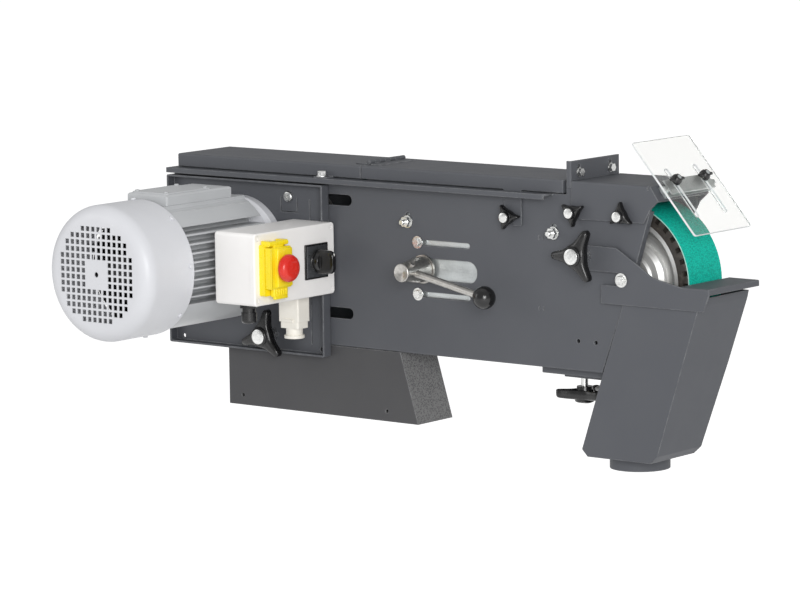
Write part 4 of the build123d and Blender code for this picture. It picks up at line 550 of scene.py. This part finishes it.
def domed_cap(shape, place, radius, low, high, material=0):
    """A bright domed disc with a rolled rim."""
    rise = high - low
    shape.lathe([(radius, low), (radius, low + 0.5 * rise), (0.96 * radius, high - 0.25 * rise),
                 (0.80 * radius, high - 0.12 * rise), (0.45 * radius, high - 0.03 * rise),
                 (0.12 * radius, high)], place, material)


LARGE_STAR = (14.0, 11.0, 5.2, 38.0, 2.6)
SMALL_STAR = (7.6, 6.2, 1.6, 18.6, 1.8)


def large_knob(node, joint, out, turn, collar=9.2):
    """A large star knob: moulded grip with a hollowed back, bright cap, collar and stud."""
    low, high = box_mm(node)
    point = joint_point(joint)
    axis = Vector(out)
    outer = max(low.dot(axis), high.dot(axis)) - point.dot(axis)
    inner = min(low.dot(axis), high.dot(axis)) - point.dot(axis)
    place = facing(point, out, turn)
    arms_top = outer - 5.0
    grip = Shape()
    thick = 13.0
    star_grip(grip, place, LARGE_STAR, [
        (7.5, arms_top - thick + 3.0, 1.0), (3.2, arms_top - thick + 2.6, 1.0), (2.0, arms_top - thick, 1.0),
        (0.7, arms_top - thick + 0.5, 1.0), (0.0, arms_top - thick + 1.8, 1.2), (0.0, arms_top - 4.2, 1.8),
        (0.5, arms_top - 2.4, 2.0), (1.6, arms_top - 1.0, 2.2), (3.4, arms_top - 0.1, 2.6),
        (6.0, arms_top + 0.4, 3.0)])
    grip.lathe([(13.4, arms_top - 2.0), (13.2, outer - 2.9), (12.4, outer - 1.9), (11.2, outer - 1.5),
                (10.8, outer - 2.4)], place)
    grip.lathe([(10.5, arms_top - thick - 4.6), (11.6, arms_top - thick + 4.0)], place)
    grip.piece(node + "_grip", [finishes["black_plastic"]], node, (node,))
    bright = Shape()
    domed_cap(bright, place, 10.6, outer - 2.6, outer)
    seat = arms_top - thick - 4.6
    bright.lathe([(collar - 0.6, inner + 12.0), (collar, inner + 12.4), (collar, seat - 0.2)], place)
    threads = [(3.3 + 0.7 * (step % 2), inner + 0.65 * step) for step in range(int((seat - inner) / 0.65))]
    bright.lathe([(2.6, inner)] + threads, place, points=36)
    bright.piece(node + "_metal", [finishes["bright_fasteners"]], node, (node,))


def small_knob(node, joint, turn):
    """A small three-cornered knob: slim wings, thick hub and a bright domed cap."""
    low, high = box_mm(node)
    point = joint_point(joint)
    place = facing(point, (0, -1, 0), turn)
    outer = point.y - low.y
    inner = point.y - high.y
    seat = outer - 2.6 - 15.0
    grip = Shape()
    top = outer - 4.4
    star_grip(grip, place, SMALL_STAR, [
        (2.6, seat + 2.4, 0.0), (1.0, seat + 2.2, 0.0), (0.3, seat + 2.6, 0.0), (0.0, seat + 3.6, 0.0),
        (0.0, top - 3.4, 2.4), (0.4, top - 1.8, 2.8), (1.2, top - 0.7, 3.2), (2.6, top, 3.8)])
    grip.lathe([(6.6, seat), (7.2, seat + 0.6), (7.2, seat + 4.0)], place)
    grip.lathe([(8.0, top - 3.0), (7.9, outer - 2.0), (7.5, outer - 1.3), (6.9, outer - 1.2)], place)
    grip.piece(node + "_grip", [finishes["black_plastic"]], node, (node,))
    bright = Shape()
    domed_cap(bright, place, 6.7, outer - 1.8, outer)
    threads = [(2.5 + 0.5 * (n % 2), inner + 0.5 * n) for n in range(14)]
    bright.lathe([(2.3, inner)] + threads + [(3.0, seat + 0.4)], place, points=36)
    bright.piece(node + "_metal", [finishes["bright_fasteners"]], node, (node,))


def make_knobs():
    """All six clamping knobs."""
    large_knob("chute_knob", "chute_knob_turn", (0, -1, 0), math.radians(62.0))
    large_knob("motor_knob", "motor_knob_turn", (0, -1, 0), math.radians(78.0))
    large_knob("bracket_knob", "bracket_knob_turn", (0, 0, -1), math.radians(142.0), 5.0)
    small_knob("lid_knob", "lid_knob_turn", math.radians(4.0))
    small_knob("hood_knob_rear", "hood_knob_rear_turn", math.radians(-90.0))
    small_knob("hood_knob_front", "hood_knob_front_turn", math.radians(92.0))


# ---- lever ---------------------------------------------------------------------------
def make_lever():
    """The clamping lever: turned cone with its set screw, rod, ball and the bolt behind."""
    low, high = box_mm("lever_arm")
    point = joint_point("lever_turn")
    place = facing(point)
    outer = point.y - low.y
    inner = point.y - high.y
    hub = Shape()
    hub.lathe([(0.8, outer - 3.6), (10.6, outer - 0.5), (11.4, outer), (12.3, outer - 0.7),
               (13.0, outer - 9.0), (16.6, outer - 33.0), (17.3, outer - 36.5), (17.3, outer - 46.0),
               (16.4, outer - 46.6)], place, ends=(True, True))
    hub.lathe([(19.3, outer - 46.8), (19.5, outer - 47.4), (19.5, outer - 49.4), (19.3, outer - 49.7)], place)
    hub.lathe([(8.0, outer - 49.7), (8.0, inner)], place)
    hub.lathe([(13.0, inner + 4.4), (13.0, inner - 4.0 + 8.0)], place)
    ball_low, ball_high = box_mm("lever_ball")
    radius = (ball_high.z - ball_low.z) / 2
    middle_y, middle_z = (ball_low.y + ball_high.y) / 2, (ball_low.z + ball_high.z) / 2
    ball_middle = Vector((ball_high.x - radius, middle_y, middle_z))
    root = point + Vector((0, -(outer - 20.0), 0))
    way = (ball_middle - root).normalized()
    rod_place = facing(root, way)
    reach = (ball_middle - root).length
    hub.lathe([(5.0, 6.0), (5.0, reach - 9.0)], rod_place, points=48)
    screw_place = facing(point + Vector((9.0, -(outer - 12.0), 9.5)), Vector((0.62, -0.25, 0.74)))
    hub.hexagon(7.0, 0.0, 4.4, screw_place)
    hub.piece("lever_metal", [finishes["turned_steel"]], "lever", ("lever_arm",))
    ball = Shape()
    profile = []
    for step in range(1, 40):
        angle = math.pi * step / 40
        profile.append((radius * math.sin(angle), -radius * math.cos(angle)))
    flat = [(r, h) for r, h in profile if h > -0.86 * radius]
    ball.lathe([(5.2, -0.86 * radius - 1.4), (7.0, -0.86 * radius - 1.4), (7.6, -0.86 * radius - 0.6)] + flat,
               facing(ball_middle, way))
    ball.piece("lever_ball_grip", [finishes["gloss_black"]], "lever", ("lever_ball",))


# ---- eye shield ----------------------------------------------------------------------
def slot_outline(x0, x1, y, radius, points=20):
    """Points round a slot along x, counter-clockwise."""
    outline = []
    for i in range(points + 1):
        angle = -math.pi / 2 + math.pi * i / points
        outline.append((x1 + radius * math.cos(angle), y + radius * math.sin(angle)))
    for i in range(points + 1):
        angle = math.pi / 2 + math.pi * i / points
        outline.append((x0 + radius * math.cos(angle), y + radius * math.sin(angle)))
    return outline


def sheet_frame():
    """The shield's plane: its middle, its slope direction and its outward direction."""
    slide = next(j for j in frame["joints"] if j["name"] == "shield_slide")
    down = Vector(slide["axis"]).normalized()
    out = down.cross(Vector((0, 1, 0)))
    if out.z < 0:
        out = -out
    low, high = box_mm("eye_shield")
    return (low + high) / 2, down, out


SHEET_THICKNESS = 3.0
SHEET_SLOT = (-26.0, 45.0)  # the slots' ends, down the slope from the sheet's middle
SHEET_SLOT_HALF = 3.4


def make_shield():
    """The clear sheet, with rounded corners, frosted edges and two long slots."""
    middle, down, out = sheet_frame()
    low, high = box_mm("eye_shield")
    thickness = SHEET_THICKNESS
    length = ((high.x - low.x) - thickness * abs(out.x)) / abs(down.x)
    width = high.y - low.y
    basis = Matrix((down, Vector((0, 1, 0)), out)).transposed().to_4x4()
    place = Matrix.Translation(middle) @ basis
    slots = [slot_outline(*SHEET_SLOT, joint_point(name).y - middle.y, SHEET_SLOT_HALF)
             for name in ("wing_nut_near_turn", "wing_nut_far_turn")]
    corner, ease = 3.5, 0.45
    outline = []
    for cx, cy, start in ((1, 1, 0), (-1, 1, 90), (-1, -1, 180), (1, -1, 270)):
        for i in range(9):
            angle = math.radians(start + 90 * i / 8)
            outline.append((cx * (length / 2 - corner) + corner * math.cos(angle),
                            cy * (width / 2 - corner) + corner * math.sin(angle)))
    shape = Shape()
    mesh = shape.mesh

    def walls(loop, inward):
        """One edge loop's wall with eased corners: returns the top and bottom face loops."""
        half = thickness / 2
        heights = ((-half, ease), (-half + ease, 0), (half - ease, 0), (half, ease))
        rows = []
        for height, inset in heights:
            row = []
            for i, (x, y) in enumerate(loop):
                ax, ay = loop[i - 1]
                bx, by = loop[(i + 1) % len(loop)]
                normal = Vector((by - ay, ax - bx)).normalized() * (-inset if not inward else inset)
                row.append(mesh.verts.new(place @ Vector((x + normal.x, y + normal.y, height))))
            rows.append(row)
        for a, b in zip(rows, rows[1:]):
            for i in range(len(a)):
                j = (i + 1) % len(a)
                mesh.faces.new((a[i], a[j], b[j], b[i])).material_index = 1
        return rows[0], rows[-1]

    loops = [walls(outline, False)] + [walls(slot, True) for slot in slots]
    for side in (0, 1):
        edges = []
        for pair in loops:
            row = pair[side]
            for i in range(len(row)):
                edges.append(mesh.edges.get((row[i], row[(i + 1) % len(row)])))
        filled = bmesh.ops.triangle_fill(mesh, edges=edges, use_beauty=True)
        for item in filled["geom"]:
            if isinstance(item, bmesh.types.BMFace):
                item.material_index = 0
    shape.piece("shield_sheet", [finishes["clear_plastic"], finishes["sheet_edge"]], "eye_shield",
                ("eye_shield",))


def make_wing_nut(node, joint):
    """A moulded wing nut with a hub, two swept wings and its screw's end."""
    middle, down, out = sheet_frame()
    point = joint_point(joint)
    base = point + out * 2.0
    basis = Matrix((down, Vector((0, 1, 0)), out)).transposed().to_4x4()
    place = Matrix.Translation(base) @ basis
    grip = Shape()
    grip.lathe([(6.4, 0.0), (7.3, 0.5), (7.3, 5.0), (6.8, 6.6), (5.6, 7.6), (5.2, 9.4), (4.4, 9.9),
                (3.2, 9.9), (3.2, 8.0)], place)
    for side in (-1, 1):
        rings = []
        for step in range(9):
            t = step / 8
            y = side * (4.5 + 10.5 * t)
            height = 2.0 + 1.6 * t, 8.6 - 1.2 * (1 - t) - 2.2 * t * t
            half = 3.4 - 1.5 * t
            centre, half_height = (height[0] + height[1]) / 2, (height[1] - height[0]) / 2
            rings.append([(half * math.cos(a), y, centre + half_height * math.sin(a)) for a in circle(24)])
        y = side * 15.3
        rings.append([(1.1 * math.cos(a), y, 5.1 + 1.0 * math.sin(a)) for a in circle(24)])
        grip.stack(rings, place)
    grip.piece(node + "_grip", [finishes["black_plastic"]], node, (node,))
    end = Shape()
    end.lathe([(2.9, 7.0), (2.9, 8.9), (2.3, 9.5)], place, points=36)
    end.piece(node + "_insert", [finishes["bright_fasteners"]], node, (node,))


# ---- switch controls -----------------------------------------------------------------
def make_mushroom():
    """The red mushroom: flat-topped head with a rolled rim, underside and stem."""
    low, high = box_mm("estop_button")
    axis = Vector((low.x, (low.y + high.y) / 2, (low.z + high.z) / 2))
    place = facing(axis, (1, 0, 0))
    length = high.x - low.x
    radius = (high.z - low.z) / 2
    head = length - 14.0
    shape = Shape()
    shape.lathe([(5.0, 0.0), (5.0, head - 1.5), (7.5, head - 0.6), (radius - 3.2, head),
                 (radius - 1.2, head + 0.5), (radius - 0.2, head + 1.8), (radius, head + 3.6),
                 (radius - 0.3, head + 6.2), (radius - 1.4, head + 8.8), (radius - 3.4, head + 10.8),
                 (radius - 6.6, head + 12.2), (radius - 10.5, head + 12.9), (3.0, head + 13.2)], place,
                ends=(True, True))
    shape.piece("estop_mushroom", [finishes["red_plastic"]], "estop_button", ("estop_button",))


def make_flap():
    """The yellow flap: stepped hollow cover, guard ring, hinge barrel and ribbed pull."""
    low, high = box_mm("estop_flap")
    hinge = joint_point("estop_flap_lift")
    button_low, button_high = box_mm("estop_button")
    stem_z = (button_low.z + button_high.z) / 2
    stem_y = (button_low.y + button_high.y) / 2
    face = high.x
    back = low.x
    bottom = low.z + 15.0
    top = hinge.z - 5.0
    shape = Shape()
    wall = 2.2
    shape.block((back, low.y, bottom), (face - 4.0, low.y + wall, top), 0.8)
    shape.block((back, high.y - wall, bottom), (face - 4.0, high.y, top), 0.8)
    shape.block((back + 0.4, low.y + 0.4, bottom), (face - 4.4, high.y - 0.4, bottom + wall), 0.8)
    shape.block((back + 0.4, low.y + 0.4, top - wall), (face - 4.4, high.y - 0.4, top), 0.8)
    shape.block((face - 6.2, low.y, bottom), (face - 4.0, high.y, top), 1.0)
    shape.block((face - 5.0, low.y + 9.0, bottom + 2.0), (face, high.y - 1.0, top - 1.5), 1.8)
    ring = facing(Vector((face - 4.6, stem_y, stem_z)), (1, 0, 0))
    shape.lathe([(5.3, 0.0), (9.0, 0.0), (9.0, 4.4), (8.2, 4.9), (5.6, 4.9), (5.3, 4.4)], ring,
                ends=(False, False))
    barrel = facing(Vector((hinge.x, low.y + 10.3, hinge.z)), (0, 1, 0))
    width = high.y - low.y - 20.6
    shape.lathe([(1.6, 0.0), (3.1, 0.0), (3.5, 0.4), (3.5, width - 0.4), (3.1, width), (1.6, width)], barrel,
                ends=(False, False))
    shape.block((hinge.x - 2.0, low.y + 10.5, top - 1.2), (hinge.x + 2.8, high.y - 10.5, hinge.z - 1.0), 0.8)
    shape.block((back + 1.6, low.y + 8.2, low.z + 3.4), (back + 9.0, high.y - 4.2, bottom + 1.2), 1.6)
    shape.block((back + 4.4, low.y + 9.4, low.z + 0.2), (back + 9.8, high.y - 5.4, low.z + 4.6), 1.4)
    for step in range(5):
        y = low.y + 12.4 + 4.8 * step
        shape.block((back + 8.4, y, low.z + 5.6), (back + 9.8, y + 1.6, bottom - 1.2), 0.5)
    shape.piece("estop_cover", [finishes["yellow_plastic"]], "estop_flap", ("estop_flap",))


def make_rotary():
    """The rotary switch: black frame, brushed dial with ticks, and the bladed grip."""
    low, high = box_mm("rotary_plate")
    handle_low, handle_high = box_mm("rotary_handle")
    middle = Vector((low.x, (low.y + high.y) / 2, (low.z + high.z) / 2))
    half = (high.y - low.y) / 2
    frame_shape = Shape()
    frame_shape.block((low.x, low.y, low.z), (low.x + 2.6, high.y, high.z), 1.1)
    collar = facing(Vector((low.x, middle.y, middle.z)), (1, 0, 0))
    frame_shape.lathe([(5.2, 2.0), (14.0, 2.0), (14.0, 4.2), (13.3, 4.9), (5.2, 4.9)], collar,
                      ends=(False, False))
    frame_shape.piece("rotary_frame", [finishes["black_plastic"]], "motor_carriage", ("rotary_plate",))
    dial = Shape()
    inset = 2.6
    dial_low = (low.x + 2.4, low.y + inset, low.z + inset)
    dial.block(dial_low, (low.x + 3.2, high.y - inset, high.z - inset), 0.25)
    dial.piece("rotary_dial", [finishes["dial_plate"]], "motor_carriage", ("rotary_plate",))
    ticks = Shape()
    for angle in (-60.0, 0.0, 60.0):
        turned_place = facing(Vector((low.x + 3.2, middle.y, middle.z)), (1, 0, 0), math.radians(angle))
        ticks.block((-0.45, half - 7.5, -0.1), (0.45, half - 4.0, 0.15), 0.05, turned_place)
    ticks.piece("rotary_ticks", [finishes["black_plastic"]], "motor_carriage", ("rotary_plate",))
    grip = Shape()
    base = handle_low.x + 8.0 + 5.3
    place = facing(Vector((base, middle.y, middle.z)), (1, 0, 0))
    grip.lathe([(5.0, -13.0), (5.0, 0.0), (12.4, 0.0), (12.9, 0.6), (12.4, 5.6), (11.2, 7.0)], place)
    depth = handle_high.x - base
    rings = []
    sections = ((1.0, 16.4, 6.2), (5.0, 16.8, 5.6), (9.0, 16.6, 4.7), (depth - 5.0, 15.4, 4.4),
                (depth - 2.0, 13.2, 4.1), (depth - 0.5, 10.4, 3.6), (depth, 8.6, 2.8))
    for height, long_half, half_width in sections:
        ring = []
        for a in circle(48):
            c, s = math.cos(a), math.sin(a)
            x = half_width * math.copysign(abs(c) ** 0.55, c)
            y = long_half * math.copysign(abs(s) ** 0.45, s)
            ring.append((x, y, height))
        rings.append(ring)
    grip.stack(rings, place)
    grip.piece("rotary_grip", [finishes["gloss_black"]], "rotary_handle", ("rotary_handle",))
    mark = Shape()
    mark.block((-0.7, 6.0, depth - 1.1), (0.7, 12.4, depth - 0.05), 0.2, place)
    mark.piece("rotary_mark", [finishes["white_mark"]], "rotary_handle", ("rotary_handle",))


# ---- belt ----------------------------------------------------------------------------
def make_belt():
    """The abrasive belt: grain outside, cloth inside and on its edges."""
    low, high = box_mm("abrasive_belt")
    radius = (high.z - low.z) / 2
    thick = 1.7
    centre_z = (low.z + high.z) / 2
    rear = low.x + radius
    front = high.x - radius
    path = []
    arc = 96
    runs = 60
    for i in range(arc + 1):
        angle = -math.pi / 2 + math.pi * i / arc
        path.append((front, math.cos(angle), math.sin(angle)))
    for i in range(1, runs):
        path.append((front + (rear - front) * i / runs, 0.0, 1.0))
    for i in range(arc + 1):
        angle = math.pi / 2 + math.pi * i / arc
        path.append((rear, math.cos(angle), math.sin(angle)))
    for i in range(1, runs):
        path.append((rear + (front - rear) * i / runs, 0.0, -1.0))
    shape = Shape()
    section = [(low.y, thick * 0.5, 1), (low.y, thick - 0.25, 0), (low.y + 0.3, thick, 0),
               (high.y - 0.3, thick, 0), (high.y, thick - 0.25, 0), (high.y, thick * 0.5, 1),
               (high.y, 0.0, 1), (low.y, 0.0, 1)]
    inner = radius - thick
    rings = []
    for x, c, s in path:
        rings.append([(x + c * (inner + out), y, centre_z + s * (inner + out)) for y, out, _ in section])
    rings.append(rings[0])
    loops = [[shape.mesh.verts.new(Vector(p)) for p in ring] for ring in rings[:-1]]
    loops.append(loops[0])
    for a, b in zip(loops, loops[1:]):
        for i, (_, _, finish) in enumerate(section):
            j = (i + 1) % len(section)
            shape.mesh.faces.new((a[i], a[j], b[j], b[i])).material_index = finish
    shape.piece("belt_loop", [finishes["belt_grain"], finishes["cloth_back"]], "frame",
                ("abrasive_belt",))


# ---- stage ---------------------------------------------------------------------------
FLOOR_HALF = 14.0
ROOM_LIGHT = 0.56
AIM = (0.1, 0.0, 0.18)
STUDIO_LIGHTS = (  # name, place, size, power
    ("top", (0.2, -0.4, 2.8), (2.4, 1.6), 2.0),
    ("front", (2.9, -2.9, 1.0), (1.6, 1.6), 96.0),
    ("left", (-2.6, -2.4, 1.2), (1.4, 1.8), 16.0),
)


def make_floor():
    """A large pale floor below the machine, which throws no light up at it."""
    mesh = bpy.data.meshes.new("floor")
    shape = bmesh.new()
    floor_z = cad_box[0][2] - BASE_DROP
    corners = []
    for side_x, side_y in ((-1, -1), (1, -1), (1, 1), (-1, 1)):
        corners.append(shape.verts.new((side_x * FLOOR_HALF, side_y * FLOOR_HALF, floor_z)))
    shape.faces.new(corners)
    shape.to_mesh(mesh)
    floor = bpy.data.objects.new("floor", mesh)
    mesh.materials.append(floor_paint("floor_paint").material)
    bpy.context.collection.objects.link(floor)
    floor.visible_diffuse = False


def make_light(name, place, target, size, power):
    """One soft rectangular light that faces a target."""
    data = bpy.data.lights.new(name, "AREA")
    data.shape = "RECTANGLE"
    data.size, data.size_y = size
    data.energy = power
    light = bpy.data.objects.new(name, data)
    light.location = place
    light.rotation_euler = (Vector(target) - Vector(place)).to_track_quat("-Z", "Y").to_euler()
    bpy.context.collection.objects.link(light)


def make_lights():
    """Soft studio light: a dim room that the camera sees as white, and three soft lights."""
    world = bpy.data.worlds.new("studio")
    world.use_nodes = True
    background = world.node_tree.nodes["Background"]
    background.inputs[0].default_value = (1.0, 1.0, 1.0, 1.0)
    background.inputs[1].default_value = ROOM_LIGHT
    nodes, links = world.node_tree.nodes, world.node_tree.links
    backdrop = nodes.new("ShaderNodeBackground")
    backdrop.inputs[0].default_value = (1.0, 1.0, 1.0, 1.0)
    choice = nodes.new("ShaderNodeMixShader")
    links.new(nodes.new("ShaderNodeLightPath").outputs["Is Camera Ray"], choice.inputs[0])
    links.new(background.outputs[0], choice.inputs[1])
    links.new(backdrop.outputs[0], choice.inputs[2])
    links.new(choice.outputs[0], nodes["World Output"].inputs[0])
    bpy.context.scene.world = world
    for name, place, size, power in STUDIO_LIGHTS:
        make_light(name, place, AIM, size, power)
    bpy.context.scene.view_settings.view_transform = "Standard"


# ---- the scene -----------------------------------------------------------------------
make_camera()
finishes = make_materials()
dress_nodes(finishes)
make_knobs()
make_lever()
make_shield()
make_wing_nut("wing_nut_near", "wing_nut_near_turn")
make_wing_nut("wing_nut_far", "wing_nut_far_turn")
make_mushroom()
make_flap()
make_rotary()
make_belt()
make_floor()
make_lights()
